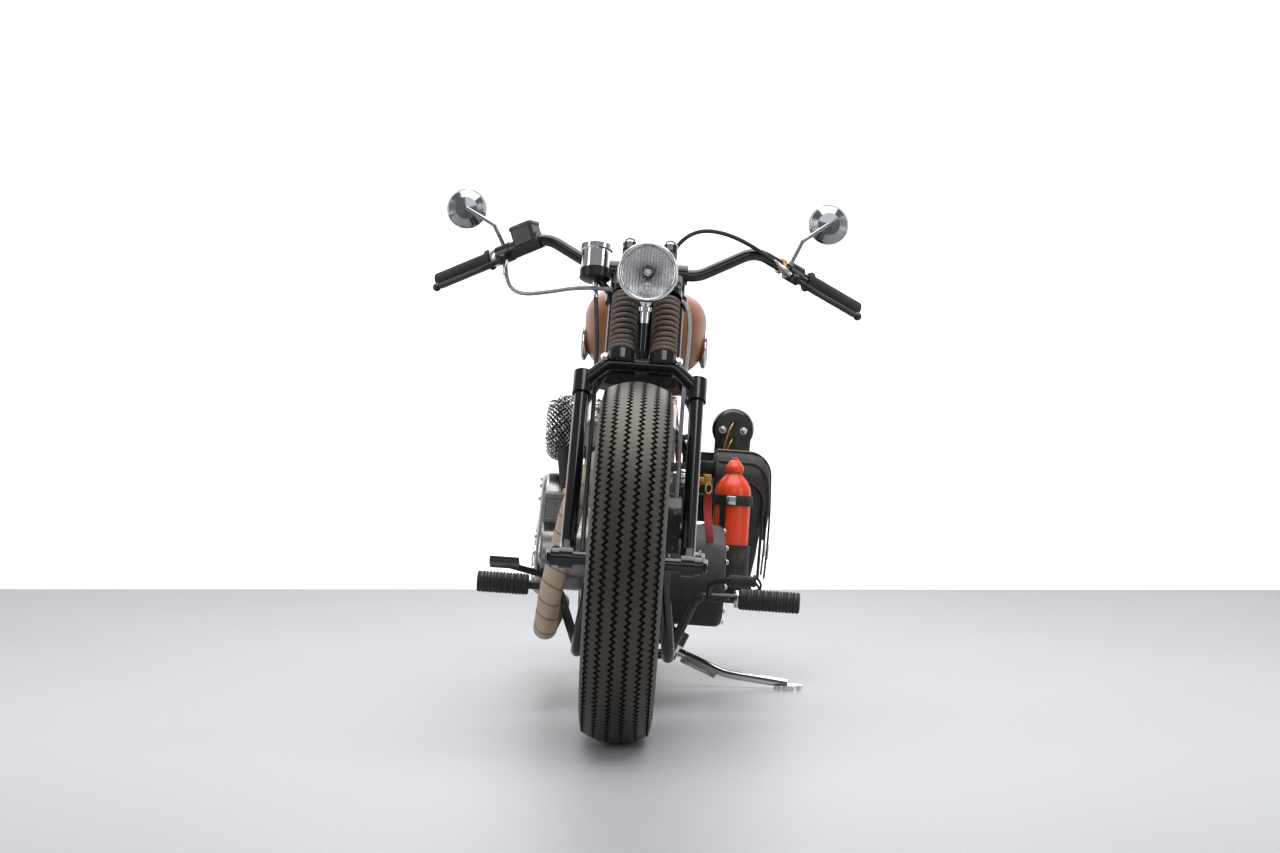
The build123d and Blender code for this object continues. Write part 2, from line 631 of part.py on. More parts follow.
half_case = CASE_WIDTH / 2
crankcase = linked([(*CRANK, CASE_R), (*GEARBOX, GEARBOX_R)], -half_case, half_case)
crank_at = Vector(0, *CRANK)
for y in CROSS_Y:
    foot_z = CRANK[1] - 20
    crankcase += Pos(0, y, (RAIL_Z + foot_z) / 2) * Box(70, 44, foot_z - RAIL_Z)
lean_dirs = {
    "front": Vector(0, -sin(radians(VEE / 2)), cos(radians(VEE / 2))),
    "rear": Vector(0, sin(radians(VEE / 2)), cos(radians(VEE / 2))),
}
barrels, heads, boxes, pushrods, case_bases = [], [], [], [], []
BIG = 600.0
for name, up in lean_dirs.items():
    rear_side = 1 if name == "rear" else -1
    own_half = Pos(0, CRANK[0] + rear_side * (BIG / 2 + 1.5), CRANK[1] + BIG / 2) * Box(BIG, BIG, BIG)
    case_bases.append(rod(crank_at, crank_at + up * BARREL_LOW, BORE_WALL_D + 30))
    length = BARREL_HIGH - BARREL_LOW
    fins = ridged(length, BORE_WALL_D / 2, FIN_D / 2, FIN_T, FINS)
    barrels.append(spun(fins, crank_at + up * BARREL_LOW, up) & own_half)
    deck = Plane(origin=crank_at + up * BARREL_HIGH, x_dir=(1, 0, 0), z_dir=up)
    head_h = HEAD_HIGH - BARREL_HIGH
    head = deck * Pos(0, 0, head_h / 2) * Box(HEAD_WIDTH - 30, HEAD_LENGTH - 30, head_h)
    for i in range(5):
        fin_z = 6 + i * (head_h - 12) / 4
        head += deck * Pos(0, 0, fin_z) * Box(HEAD_WIDTH, HEAD_LENGTH, FIN_T)
    heads.append(head)
    box_h = BOX_HIGH - HEAD_HIGH
    cover = deck * Pos(-16, 0, head_h + box_h / 2) * Box(HEAD_WIDTH + 32, HEAD_LENGTH - 16, box_h)
    cover = fillet(cover.faces().sort_by(Axis(crank_at, up))[-1].edges(), 14)
    boxes.append(cover)
    for offset in (-22, 22):
        foot = crank_at + up * 125 + up.cross(X) * offset - X * 99
        pushrods.append(rod(foot, foot + up * (HEAD_HIGH - 125), 18))
chain_runs = [
    (*DRIVE_SPROCKET, DRIVE_SPROCKET_R + MOVING_GAP),
    (WHEELBASE, TYRE_R, REAR_SPROCKET_R + MOVING_GAP),
]
pocket = linked([(y, z, rr + CHAIN_T + 6) for y, z, rr in chain_runs], -2 * half_case, POCKET_X)
parts["crankcase"] = crankcase.fuse(*case_bases) - parts["frame_cradle"] - pocket
parts["cylinders"] = Compound([b - parts["crankcase"] for b in barrels])
parts["cylinder_heads"] = Compound(heads)
parts["rocker_boxes"] = Compound(boxes)

PRIMARY_OUT = 212.0
CAM_OUT = -205.0
primary = linked([(*CRANK, 94), (GEARBOX[0] + 8, GEARBOX[1], 108)], half_case, PRIMARY_OUT)
parts["primary_cover"] = fillet(primary.faces().sort_by(Axis.X)[-1].edges(), 16)
cam = linked([(648, 318, 80), (786, 318, 80), (716, 412, 84)], CAM_OUT, -half_case)
cam = fillet(cam.faces().sort_by(Axis.X)[0].edges(), 16) - pocket
parts["cam_cover"] = cam.fuse(*pushrods) - parts["rocker_boxes"] - parts["cylinder_heads"]

INTAKE_Z = 593.0
carb_out = -142.0
intake = across(-10, CRANK[0], INTAKE_Z, 40, carb_out + 10).fuse(
    across(-78, CRANK[0], INTAKE_Z, 66, -50), Pos(-100, CRANK[0], INTAKE_Z - 40) * Cylinder(26, 50)
)
runner = rod((-14, CRANK[0] - 60, INTAKE_Z + 6), (-14, CRANK[0] + 60, INTAKE_Z + 6), 38)
parts["carburettor"] = intake.fuse(runner) - parts["cylinder_heads"]
FILTER_D = 146.0
FILTER_T = 64.0
fr = FILTER_D / 2
parts["air_filter"] = spun(
    [(0, 0), (fr - 8, 0), (fr, 8), (fr, FILTER_T * 0.55), (fr * 0.9, FILTER_T * 0.8),
     (fr * 0.62, FILTER_T * 0.97), (0, FILTER_T)],
    Vector(carb_out, CRANK[0], INTAKE_Z), Vector(-1, 0, 0),
)  # fmt: skip

PIPE_D = 50.0
front_port = crank_at + lean_dirs["front"] * 300 - X * 30
rear_port = crank_at + lean_dirs["rear"] * 300 - X * 50
front_pipe = tube(
    [
        front_port - lean_dirs["front"].cross(X) * 60,
        (-62, 488, 556),
        (-126, 448, 430),
        (-160, 470, 250),
        (-170, 520, 160),
        (-170, 1240, 166),
    ],
    PIPE_D,
    [45, 60, 90, 60],
) - parts["cylinder_heads"] - parts["rocker_boxes"]
rear_pipe = tube(
    [
        rear_port + lean_dirs["rear"].cross(X) * 60,
        (-92, 906, 506),
        (-190, 908, 430),
        (-205, 912, 290),
        (-205, 985, 222),
        (-205, 1330, 228),
    ],
    PIPE_D,
    [26, 70, 90, 60],
) - parts["cylinder_heads"] - parts["rocker_boxes"]
parts["exhaust_pipes"] = Compound([front_pipe, rear_pipe])


# Chain drive

chain_x = (CHAIN_X - CHAIN_W / 2, CHAIN_X + CHAIN_W / 2)
chain_outer = linked([(y, z, rr + CHAIN_T) for y, z, rr in chain_runs], *chain_x)
chain = chain_outer - linked(chain_runs, *chain_x)
drive = across(POCKET_X, *DRIVE_SPROCKET, 2 * (DRIVE_SPROCKET_R + MOVING_GAP), chain_x[0] + 3 - POCKET_X)
parts["drive_chain"] = chain.fuse(drive)


# Tank, seat, oil tank and rear guard

# Tank sections: y, half-width, bottom z, top z, corner radius
TANK_SECTIONS = (
    (TANK_FRONT, 62, 774, 850, 36),
    (TANK_FRONT + 55, 114, 744, 890, 58),
    (TANK_FRONT + 170, 132, 728, 902, 66),
    (TANK_FRONT + 300, 104, 722, 866, 56),
    (TANK_REAR, 58, 726, 806, 36),
)
tank_faces = [
    Plane(origin=(0, y, (low + high) / 2), x_dir=(1, 0, 0), z_dir=(0, -1, 0))
    * RectangleRounded(2 * half, high - low, corner)
    for y, half, low, high, corner in TANK_SECTIONS
]
tank_room = rod(bone_start, junction, BACKBONE_D + 2 * SEAT_GAP)
tank = loft(tank_faces)
parts["fuel_tank"] = tank - tank_room - (Pos(0, 640, 690) * Box(BACKBONE_D + 2 * SEAT_GAP, 600, 110))
cap_at = Vector(30, TANK_FRONT + 165, 894)
cap = rod(cap_at, cap_at + Vector(0, 0, 26), 62) - tank
badge = [
    Pos(side * 131, TANK_FRONT + 150, 787) * Rot(Y=90) * extrude(Ellipse(45, 60), 13, both=True)
    for side in SIDES
]
parts["tank_fittings"] = Compound([cap, *[b - tank for b in badge]])

seat_plan = [
    Line((-32, SEAT_NOSE + 30), (-SEAT_WIDTH / 2, SEAT_REAR - 120)),
    ThreePointArc((-SEAT_WIDTH / 2, SEAT_REAR - 120), (0, SEAT_REAR), (SEAT_WIDTH / 2, SEAT_REAR - 120)),
    Line((SEAT_WIDTH / 2, SEAT_REAR - 120), (32, SEAT_NOSE + 30)),
    ThreePointArc((32, SEAT_NOSE + 30), (0, SEAT_NOSE), (-32, SEAT_NOSE + 30)),
]
seat = Pos(0, 0, SEAT_LOW) * extrude(make_face(seat_plan), SEAT_T)
parts["seat_pad"] = fillet(seat.faces().sort_by(Axis.Z)[-1].edges(), 18)
SEAT_SPRING_X = 58.0
SEAT_SPRING_D = 48.0
SEAT_SPRING_WIRE = 7.0
spring_low = seat_cross_at.Z + CROSS_D / 2 + 6
seat_springs = []
for side in SIDES:
    foot = Vector(side * SEAT_SPRING_X, seat_cross_at.Y, spring_low)
    spring = coil(foot, Vector(0, 0, 1), SEAT_LOW - spring_low, SEAT_SPRING_D, SEAT_SPRING_WIRE)
    cup = rod(foot - Vector(0, 0, 14), foot, SEAT_SPRING_D)
    seat_springs.append(spring.fuse(cup) - parts["frame_upper_stays"])
nose = Pos(0, SEAT_NOSE + 40, SEAT_LOW - 22) * Box(34, 44, 44)
parts["seat_springs"] = Compound([*seat_springs, nose - parts["frame_backbone"] - parts["frame_upper_stays"]])

oil = Pos(0, 985, 480) * Box(150, 92, 150)
oil = fillet(oil.edges().filter_by(Axis.X), 30)
oil_lug = rod((0, 985, 540), (0, seat_cross_at.Y, seat_cross_at.Z), 24)
parts["oil_tank"] = oil.fuse(oil_lug) - parts["frame_upper_stays"]

guard_r = TYRE_R + GUARD_GAP
gw = GUARD_WIDTH / 2
guard_section = [(guard_r - 40, -gw), (guard_r - 8, -gw + 6), (guard_r, -gw + 26), (guard_r, gw - 26)]
guard_section += [(guard_r - 8, gw - 6), (guard_r - 40, gw)]
guard_inner = [(rr - GUARD_T, x * (gw - GUARD_T) / gw) for rr, x in reversed(guard_section)]
guard_face = Plane(origin=REAR_AXLE, x_dir=(0, 0, 1), z_dir=(0, -1, 0)) * make_face(
    Polyline(*[(rr, -x) for rr, x in guard_section + guard_inner], close=True)
)
GUARD_START, GUARD_SWEEP = 48.0, 118.0
guard = revolve(guard_face, Axis(REAR_AXLE, X), GUARD_SWEEP)
guard = guard.rotate(Axis(REAR_AXLE, X), GUARD_START - 100)
struts = []
for side in SIDES:
    for lean in (-30, 4):
        high = REAR_AXLE + Vector(
            side * (gw - 6), sin(radians(lean)) * (guard_r - 16), cos(radians(lean)) * (guard_r - 16)
        )
        struts.append(rod(high, (side * STAY_X, WHEELBASE + lean / 3, TYRE_R + 20), 12))
parts["rear_guard"] = guard.fuse(*struts) - parts["rear_axle_plates"] - parts["frame_upper_stays"]


# Bag, bottle and rear lamp on the left

BAG_IN = 186.0
bag_mid = (BAG_FRONT + BAG_LENGTH / 2, BAG_LOW + BAG_HEIGHT / 2)
bag = Pos(BAG_IN + BAG_T / 2, *bag_mid) * Box(BAG_T, BAG_LENGTH, BAG_HEIGHT)
top_edges = bag.edges().filter_by(Axis.X).sort_by(Axis.Z)
bag = fillet(top_edges[-2:], 70)
bag = fillet(bag.edges().filter_by(Axis.X).sort_by(Axis.Z)[:2], 24)
bag = fillet(bag.faces().sort_by(Axis.X)[-1].edges(), 22)
BOTTLE_AT = (232.0, BAG_FRONT - 50.0, 250.0)
CUP_WALL = 5.0
CUP_H = 96.0
bottle_r = BOTTLE_D / 2
bottle_foot = Vector(*BOTTLE_AT)
UP = Vector(0, 0, 1)
cup = rod(bottle_foot - UP * CUP_WALL, bottle_foot + UP * CUP_H, BOTTLE_D + 2 * CUP_WALL)
band = rod(bottle_foot + UP * 190, bottle_foot + UP * 212, BOTTLE_D + 2 * CUP_WALL)
bottle_room = rod(bottle_foot, bottle_foot + UP * BOTTLE_H, BOTTLE_D + 2 * SEAT_GAP)
bridges = [
    Pos(BOTTLE_AT[0], BAG_FRONT - 10, BOTTLE_AT[2] + z) * Box(40, 30, h) for z, h in ((46, 60), (201, 22))
]
hanger_in, hanger_out = STAY_X - 3, BAG_IN + 2
hangers = [
    Pos((hanger_in + hanger_out) / 2, y, z) * Box(hanger_out - hanger_in, 34, 40)
    for y, z in ((BAG_FRONT + 78, 519), (BAG_FRONT + 218, 436))
]
bag = bag.fuse(cup, band, *bridges, *hangers) - bottle_room
parts["saddle_bag"] = bag - parts["frame_upper_stays"]
parts["fuel_bottle"] = spun(
    [(0, 0), (bottle_r - 5, 0), (bottle_r, 6), (bottle_r, BOTTLE_H - 78), (bottle_r - 8, BOTTLE_H - 58),
     (18, BOTTLE_H - 40), (18, BOTTLE_H - 34), (22, BOTTLE_H - 34), (22, BOTTLE_H), (0, BOTTLE_H)],
    bottle_foot, UP,
)  # fmt: skip

LAMP_X = 237.0
PLATE_Y = WHEELBASE + 32.0
PLATE = (160.0, 4.0, 180.0)
PLATE_Z = 470.0
REAR_LAMP_Z = 624.0
plate_arm = tube([(plate_out, WHEELBASE + 14, TYRE_R + 12), (LAMP_X, PLATE_Y - 12, 386), (LAMP_X, PLATE_Y - 8, 560)], 14, 24)
lamp_bracket = Pos(LAMP_X, PLATE_Y - 6, 572) * Box(64, 6, 76)
plate = Pos(LAMP_X, PLATE_Y - 3 + PLATE[1] / 2, PLATE_Z) * Box(*PLATE)
parts["number_plate"] = plate_arm.fuse(lamp_bracket, plate) - parts["rear_axle_plates"]
REAR_LAMP_R = 55.0
rear_lamp = spun(
    [(0, 0), (REAR_LAMP_R - 14, 0), (REAR_LAMP_R - 3, 10), (REAR_LAMP_R, 22), (REAR_LAMP_R, 34),
     (REAR_LAMP_R - 8, 44), (0, 50)],
    Vector(LAMP_X, PLATE_Y - 20, REAR_LAMP_Z), Vector(0, 1, 0),
)  # fmt: skip
parts["rear_lamp"] = rear_lamp - parts["number_plate"]


# Foot controls and ignition switch

PEG_D = 44.0
PEG_SPAN = {1: (243.0, 371.0), -1: (214.0, 322.0)}  # the left peg clears the primary cover
PEG_Y, PEG_Z = 557.0, 250.0
PEG_RIDGES = 8
controls = []
for side in SIDES:
    peg_in, peg_out = PEG_SPAN[side]
    arm = tube(
        [(side * RAIL_X, PEG_Y, RAIL_Z), (side * 150, PEG_Y, PEG_Z), (side * (peg_in + 4), PEG_Y, PEG_Z)], 20, 30
    )
    ridges = ridged(peg_out - peg_in, PEG_D / 2 - 4, PEG_D / 2, 9, PEG_RIDGES)
    rubber = spun(ridges, Vector(side * peg_in, PEG_Y, PEG_Z), X * side)
    controls.append(arm.fuse(rubber))
PEDAL_Z = PEG_Z + 45
pedal_arm = tube([(-176, PEG_Y, PEG_Z), (-176, 512, PEG_Z + 25), (-258, 470, PEDAL_Z)], 14, 26)
pedal = pedal_arm.fuse(Pos(-262, 466, PEDAL_Z + 4) * Rot(X=-20) * Box(62, 40, 14))
shift_arm = tube([(176, PEG_Y, PEG_Z), (176, 505, PEG_Z + 31), (212, 462, PEDAL_Z), (262, 462, PEDAL_Z)], 12, 18)
shifter = shift_arm.fuse(across(216, 462, PEDAL_Z, 22, 54))
parts["foot_controls"] = Compound(
    [controls[0].fuse(shifter) - parts["frame_cradle"], controls[1].fuse(pedal) - parts["frame_cradle"]]
)

switch_plate = Pos(98, 690, 438) * Box(5, 56, 172)
switch = across(98, 694, 500, 38, 30).fuse(across(126, 694, 500, 24, 8))
parts["ignition_switch"] = switch_plate.fuse(switch) - parts["primary_cover"]


# Cables on the steering

HOSE_D = 9.0
clutch_pull = bands[1][0] + bands[1][1] * (GRIP_LENGTH + 46) + FORWARD_DOWN * 30
hose_perch = bands[-1][0] + bands[-1][1] * (GRIP_LENGTH + 34) + FORWARD_DOWN * 14
# Cables: points along each, and the radius of its bends
CABLES = (
    (
        [
            clutch_pull,
            (236, 446, 992),
            (150, 412, 1025),
            (84, 396, 1020),
            (40, 402, 968),
            (34, 366, 880),
            on_fork(30, crown_low + 16, 28),
        ],
        36,
    ),
    (
        [
            hose_perch,
            (-302, 462, 892),
            (-270, 432, 864),
            (-205, 398, 872),
            (-145, 366, 884),
            (-60, 354, 884),
            (60, 356, 880),
            (96, 330, 850),
            on_fork(88, 430, 35),
            on_fork(88, 190, 35),
            (88, 120, 440),
        ],
        20,
    ),
    (
        [
            gauge_at + GAUGE_AXIS * 4,
            on_fork(-100, 600, 34),
            on_fork(-90, 440, 37),
            on_fork(-90, 120, 34),
            (-85, 6, 354),
        ],
        30,
    ),
)
cables = []
for points, bend in CABLES:
    cables.append(tube(points, HOSE_D, bend))
obstacles = [
    parts[n]
    for n in ("hand_levers", "handlebar", "speedometer", "headlamp", "fork_rigid_legs", "fork_spring_legs",
              "fork_springs", "fork_rockers", "front_caliper")
]  # fmt: skip
parts["control_cables"] = Compound([c - obstacles for c in cables])


# Side stand

STAND_PIVOT = Vector(117, 1000, 92)
STAND_AXIS = Vector(0.40, 0.10, 0.911).normalized()
STAND_REACH = 385.0
STAND_FOOT = Vector(STAND_REACH, 910, STAND_REACH * tan(radians(LEAN)))  # on the ground once leaned
STAND_PIN_D = 16.0
STAND_EYE_D = 34.0
STAND_EYE = (-13.0, 12.5)
STAND_FOLD = 107.0
ground_dip = radians(LEAN)
GROUND_UP = Vector(-sin(ground_dip), 0, cos(ground_dip))
along = STAND_AXIS
pin = rod(STAND_PIVOT - along * 22, STAND_PIVOT + along * 30, STAND_PIN_D)
pin_head = rod(STAND_PIVOT - along * 22, STAND_PIVOT - along * 13.6, STAND_PIN_D + 10)
lug = rod(STAND_PIVOT + along * 13, STAND_PIVOT + along * 46, STAND_EYE_D)
lug_arm = rod((RAIL_X + 3, 1006, 137), STAND_PIVOT + along * 34, TUBE_D - 2)
parts["frame_cradle"] = parts["frame_cradle"].fuse(pin, pin_head, lug, lug_arm)
eye = rod(STAND_PIVOT + along * STAND_EYE[0], STAND_PIVOT + along * STAND_EYE[1], STAND_EYE_D)
leg = tube(
    [STAND_PIVOT, STAND_PIVOT + Vector(120, -46, -44), STAND_FOOT + GROUND_UP * 12], 20, 160
)
shoe = rod(STAND_FOOT, STAND_FOOT + GROUND_UP * 10, 66)
eye_room = rod(STAND_PIVOT + along * STAND_EYE[0], STAND_PIVOT + along * STAND_EYE[1], STAND_PIN_D + 2 * RUNNING)
parts["side_stand"] = eye.fuse(leg, shoe) - eye_room


# Lean the machine on its stand and centre it

upright = Compound(list(parts.values()))
LEANING = Rot(0, LEAN, 0)
box = (LEANING * upright).bounding_box()
SHIFT = Vector(-(box.min.X + box.max.X) / 2, -(box.min.Y + box.max.Y) / 2, -box.min.Z)
PLACE = Pos(*SHIFT) * LEANING

if __name__ == "__main__":
    os.makedirs("parts", exist_ok=True)
    for name, shape in parts.items():
        export_step(PLACE * shape, os.path.join("parts", f"{name}.step"))
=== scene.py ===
"""Dresses a rigid-frame bobber motorcycle, leaning on its side stand, for the studio."""

import json
from math import cos, pi, radians, sin, tau

import bmesh
import bpy
import numpy as np
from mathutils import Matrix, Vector


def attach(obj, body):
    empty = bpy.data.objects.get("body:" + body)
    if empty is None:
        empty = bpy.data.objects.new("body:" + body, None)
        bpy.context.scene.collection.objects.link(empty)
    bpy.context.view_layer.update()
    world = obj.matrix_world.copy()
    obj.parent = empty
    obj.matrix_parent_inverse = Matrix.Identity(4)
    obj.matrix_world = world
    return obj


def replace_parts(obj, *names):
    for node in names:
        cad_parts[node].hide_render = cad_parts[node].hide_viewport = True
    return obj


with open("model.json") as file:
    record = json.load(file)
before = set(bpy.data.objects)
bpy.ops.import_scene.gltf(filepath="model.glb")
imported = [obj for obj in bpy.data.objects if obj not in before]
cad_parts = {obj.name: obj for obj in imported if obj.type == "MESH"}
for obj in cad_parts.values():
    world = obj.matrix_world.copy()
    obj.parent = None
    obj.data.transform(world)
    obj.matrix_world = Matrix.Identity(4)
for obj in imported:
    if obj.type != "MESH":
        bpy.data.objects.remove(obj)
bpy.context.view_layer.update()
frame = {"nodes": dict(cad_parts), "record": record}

# Stance. The machine leans four degrees to its left on its stand. Sizes below are given upright,
# in metres, x to the rider's left, y rearwards from the front axle and z up from the ground.
LEAN = radians(4.0)
TYRE_R = 0.3435
joint_at = {j["name"]: j["pos_m"] for j in frame["record"]["behaviour"]["joints"]}
hub_x, hub_y, hub_z = joint_at["front_wheel_spin"]
ORIGIN = np.array([hub_x - TYRE_R * sin(LEAN), hub_y, hub_z - TYRE_R * cos(LEAN)])


def leaned(upright):
    """Upright points turned by the lean about the ground line, x' = x cos + z sin, z' = z cos - x sin."""
    p = np.asarray(upright, float)
    x, y, z = p[..., 0], p[..., 1], p[..., 2]
    return np.stack([x * cos(LEAN) + z * sin(LEAN), y, z * cos(LEAN) - x * sin(LEAN)], -1) + ORIGIN


class Shade:
    """One socket of a material. Arithmetic on it adds Math nodes, and node() adds any other node."""

    def __init__(self, tree, socket):
        self.tree, self.socket = tree, socket

    def node(self, kind, out=0, settings=None, **sockets):
        made = self.tree.nodes.new("ShaderNode" + kind)
        for key, value in (settings or {}).items():
            setattr(made, key, value)
        for key, value in sockets.items():
            into = int(key[1:]) if key[1:].isdigit() else key.replace("_", " ")
            feed(self.tree, made.inputs[into], value)
        return Shade(self.tree, made.outputs[out])

    def maths(self, operation, a, b=0.0):
        return self.node("Math", settings={"operation": operation}, _0=a, _1=b)

    def vector(self, operation, other=(0, 0, 0), out=0):
        """Vector maths with another vector. Output 1 is the result where it is one number."""
        return self.node("VectorMath", out, {"operation": operation}, _0=self, _1=other)

    def mix(self, low, high):
        """Colour between low and high by this value."""
        return self.node("Mix", 2, {"data_type": "RGBA"}, _0=self, _6=low, _7=high)

    def step(self, low, high):
        """Smooth ramp from 0 at low to 1 at high."""
        return self.node(
            "MapRange", settings={"interpolation_type": "SMOOTHSTEP"}, Value=self, From_Min=low,
            From_Max=high
        )

    def noise(self, scale, detail=3.0, roughness=0.55):
        return self.node("TexNoise", Vector=self, Scale=scale, Detail=detail, Roughness=roughness)

    def part(self, axis):
        """One coordinate of a vector."""
        return self.node("SeparateXYZ", "xyz".index(axis), Vector=self)

    def sine(self):
        return self.maths("SINE", self)

    def __add__(self, other):
        return self.maths("ADD", self, other)

    def __sub__(self, other):
        return self.maths("SUBTRACT", self, other)

    def __rsub__(self, other):
        return self.maths("SUBTRACT", other, self)

    def __mul__(self, other):
        return self.maths("MULTIPLY", self, other)

    def __abs__(self):
        return self.maths("ABSOLUTE", self)

    def __mod__(self, other):
        return self.maths("FLOORED_MODULO", self, other)

    __radd__, __rmul__ = __add__, __mul__


def feed(tree, into, value):
    """A shade is linked to the socket, and a plain value is written on it, a colour as opaque."""
    if isinstance(value, Shade):
        tree.links.new(value.socket, into)
    else:
        into.default_value = (*value, 1) if into.type == "RGBA" and len(value) == 3 else value


class Finish:
    """A Principled material: fixed sockets by name, then set() for what varies over the surface."""

    def __init__(self, name, **fixed):
        self.material = bpy.data.materials.new(name)
        self.material.use_nodes = True
        self.tree = self.material.node_tree
        self.shader = self.tree.nodes["Principled BSDF"]
        place = self.tree.nodes.new("ShaderNodeTexCoord")
        self.at = Shade(self.tree, place.outputs["Object"])
        self.uv = Shade(self.tree, place.outputs["UV"])
        self.set(**fixed)

    def set(self, **sockets):
        for key, value in sockets.items():
            feed(self.tree, self.shader.inputs[key.replace("_", " ")], value)
        return self

    def vary(self, noise, low, high, rough, more):
        """A noise takes the colour from low to high, and the roughness up from rough by more."""
        by = self.at.noise(*noise)
        return self.set(Base_Color=by.mix(low, high), Roughness=rough + more * by)

    def bump(self, height, depth):
        """Height from 0 to 1 raises the surface by up to depth metres."""
        return self.set(Normal=self.at.node("Bump", Strength=1.0, Distance=depth, Height=height))


# Studio. A pale smooth floor runs back to a white wall, under wide soft lamps, and the camera
# stands in front of the machine, a little to its left, at about the height of the rims.
floor_grey = Finish("pale floor", Specular_IOR_Level=0.35)
floor_grey.vary((1.2, 5.0), (0.47, 0.48, 0.50), (0.53, 0.54, 0.56), 0.34, 0.14)
wall_white = Finish("white wall", Base_Color=(0.9, 0.9, 0.9), Roughness=0.9, Emission_Strength=1.0)
seen = sum((wall_white.at.node("LightPath", f"Is {ray} Ray") for ray in ("Glossy", "Transmission")),
           wall_white.at.node("LightPath", "Is Camera Ray"))
behind = wall_white.at.node("NewGeometry", "Backfacing")
wall_white.set(Emission_Color=seen.mix((0, 0, 0), (1, 1, 1)), Alpha=1 - behind)


def surface(name, points, finish, wrap=(False, False), uv=None, sharp=40):
    """A skin over a grid of points, or over several grids alike: neighbours in both directions join
    as quads, wrapping where asked."""
    p = np.asarray(points, float)
    n, m = p.shape[-3:-1]
    copies = p.size // (3 * n * m)
    i = np.arange(n if wrap[0] else n - 1)
    j = np.arange(m if wrap[1] else m - 1)
    a, b = np.meshgrid(i, j, indexing="ij")
    a2, b2 = (a + 1) % n, (b + 1) % m
    quads = np.stack([a * m + b, a2 * m + b, a2 * m + b2, a * m + b2], -1).reshape(-1, 4)
    quads = (quads + n * m * np.arange(copies)[:, None, None]).reshape(-1, 4)
    mesh = bpy.data.meshes.new(name)
    mesh.from_pydata(p.reshape(-1, 3), [], quads)
    if uv is not None:
        corners = np.stack([np.stack([a, b], -1), np.stack([a + 1, b], -1), np.stack([a + 1, b + 1], -1),
                            np.stack([a, b + 1], -1)], 2).reshape(-1, 2)
        corners = np.minimum(corners, [uv.shape[0] - 1, uv.shape[1] - 1])
        layer = mesh.uv_layers.new(name="UVMap")
        layer.data.foreach_set("uv", np.tile(uv[corners[:, 0], corners[:, 1]].ravel(), copies))
    return finished(mesh, finish, sharp)


def finished(mesh, finish, sharp=40):
    """Smooth shading up to an edge angle, faces outwards, and the finish on it."""
    work = bmesh.new()
    work.from_mesh(mesh)
    bmesh.ops.remove_doubles(work, verts=work.verts, dist=1e-6)
    bmesh.ops.recalc_face_normals(work, faces=work.faces)
    work.to_mesh(mesh)
    work.free()
    mesh.polygons.foreach_set("use_smooth", np.ones(len(mesh.polygons), bool))
    mesh.set_sharp_from_angle(angle=radians(sharp))
    mesh.materials.append(finish.material)
    made = bpy.data.objects.new(mesh.name, mesh)
    bpy.context.scene.collection.objects.link(made)
    return made


ROOM_HALF, WALL_Y, WALL_TALL = 9, 3.7, 7
room_x, room_y = np.meshgrid([-ROOM_HALF, ROOM_HALF], [-ROOM_HALF, WALL_Y], indexing="ij")
floor = surface("floor", np.stack([room_x, room_y, 0 * room_x], -1), floor_grey)
wall_x, wall_z = np.meshgrid([-ROOM_HALF, ROOM_HALF], [0, WALL_TALL], indexing="ij")
wall = surface("wall", np.stack([wall_x, np.full(wall_x.shape, WALL_Y), wall_z], -1), wall_white)

scene = bpy.context.scene
scene.view_settings.view_transform = "Standard"
world = bpy.data.worlds.new("studio air")
world.use_nodes = True
world.node_tree.nodes["Background"].inputs["Color"].default_value = (0.92, 0.94, 1.0, 1)
world.node_tree.nodes["Background"].inputs["Strength"].default_value = 0.28
scene.world = world
# Lamps: name, place, aimed at, width and depth, watts
LAMPS = (
    ("overhead softbox", (0.2, -0.3, 3.3), (0, -0.2, 0.5), (3.0, 3.4), 105),
    ("front fill", (0.5, -5.6, 2.8), (0, 0, 0.4), (3.0, 1.6), 18),
    ("left strip", (3.0, -1.9, 1.5), (0, -0.2, 0.5), (0.7, 2.4), 22),
    ("right strip", (-3.0, -1.9, 1.5), (0, -0.2, 0.5), (0.7, 2.4), 22),
    ("back wash", (0.0, 3.0, 2.6), (0, 0.5, 0.4), (3.0, 1.2), 20),
)
for name, place, target, (width, depth), watts in LAMPS:
    lamp = bpy.data.lights.new(name, "AREA")
    lamp.shape, lamp.size, lamp.size_y, lamp.energy = "RECTANGLE", width, depth, watts
    holder = bpy.data.objects.new(name, lamp)
    holder.location = place
    holder.rotation_euler = (Vector(target) - Vector(place)).to_track_quat("-Z", "Y").to_euler()
    scene.collection.objects.link(holder)

CAMERA_AWAY, CAMERA_UP, CAMERA_TURN, CAMERA_TILT = 4.2, 0.565, radians(0.4), radians(0.48)
AXIS_LEFT = 0.0495  # the optical axis passes this far to the left of the front tyre's footprint
eye = bpy.data.objects.new("camera", bpy.data.cameras.new("camera"))
eye.data.lens, eye.data.sensor_width = 62.0, 36.0
eye.location = (
    ORIGIN[0] + AXIS_LEFT + CAMERA_AWAY * sin(CAMERA_TURN), ORIGIN[1] - CAMERA_AWAY * cos(CAMERA_TURN),
    CAMERA_UP
)
eye.rotation_euler = (pi / 2 + CAMERA_TILT, 0, CAMERA_TURN)
scene.collection.objects.link(eye)
scene.camera = eye

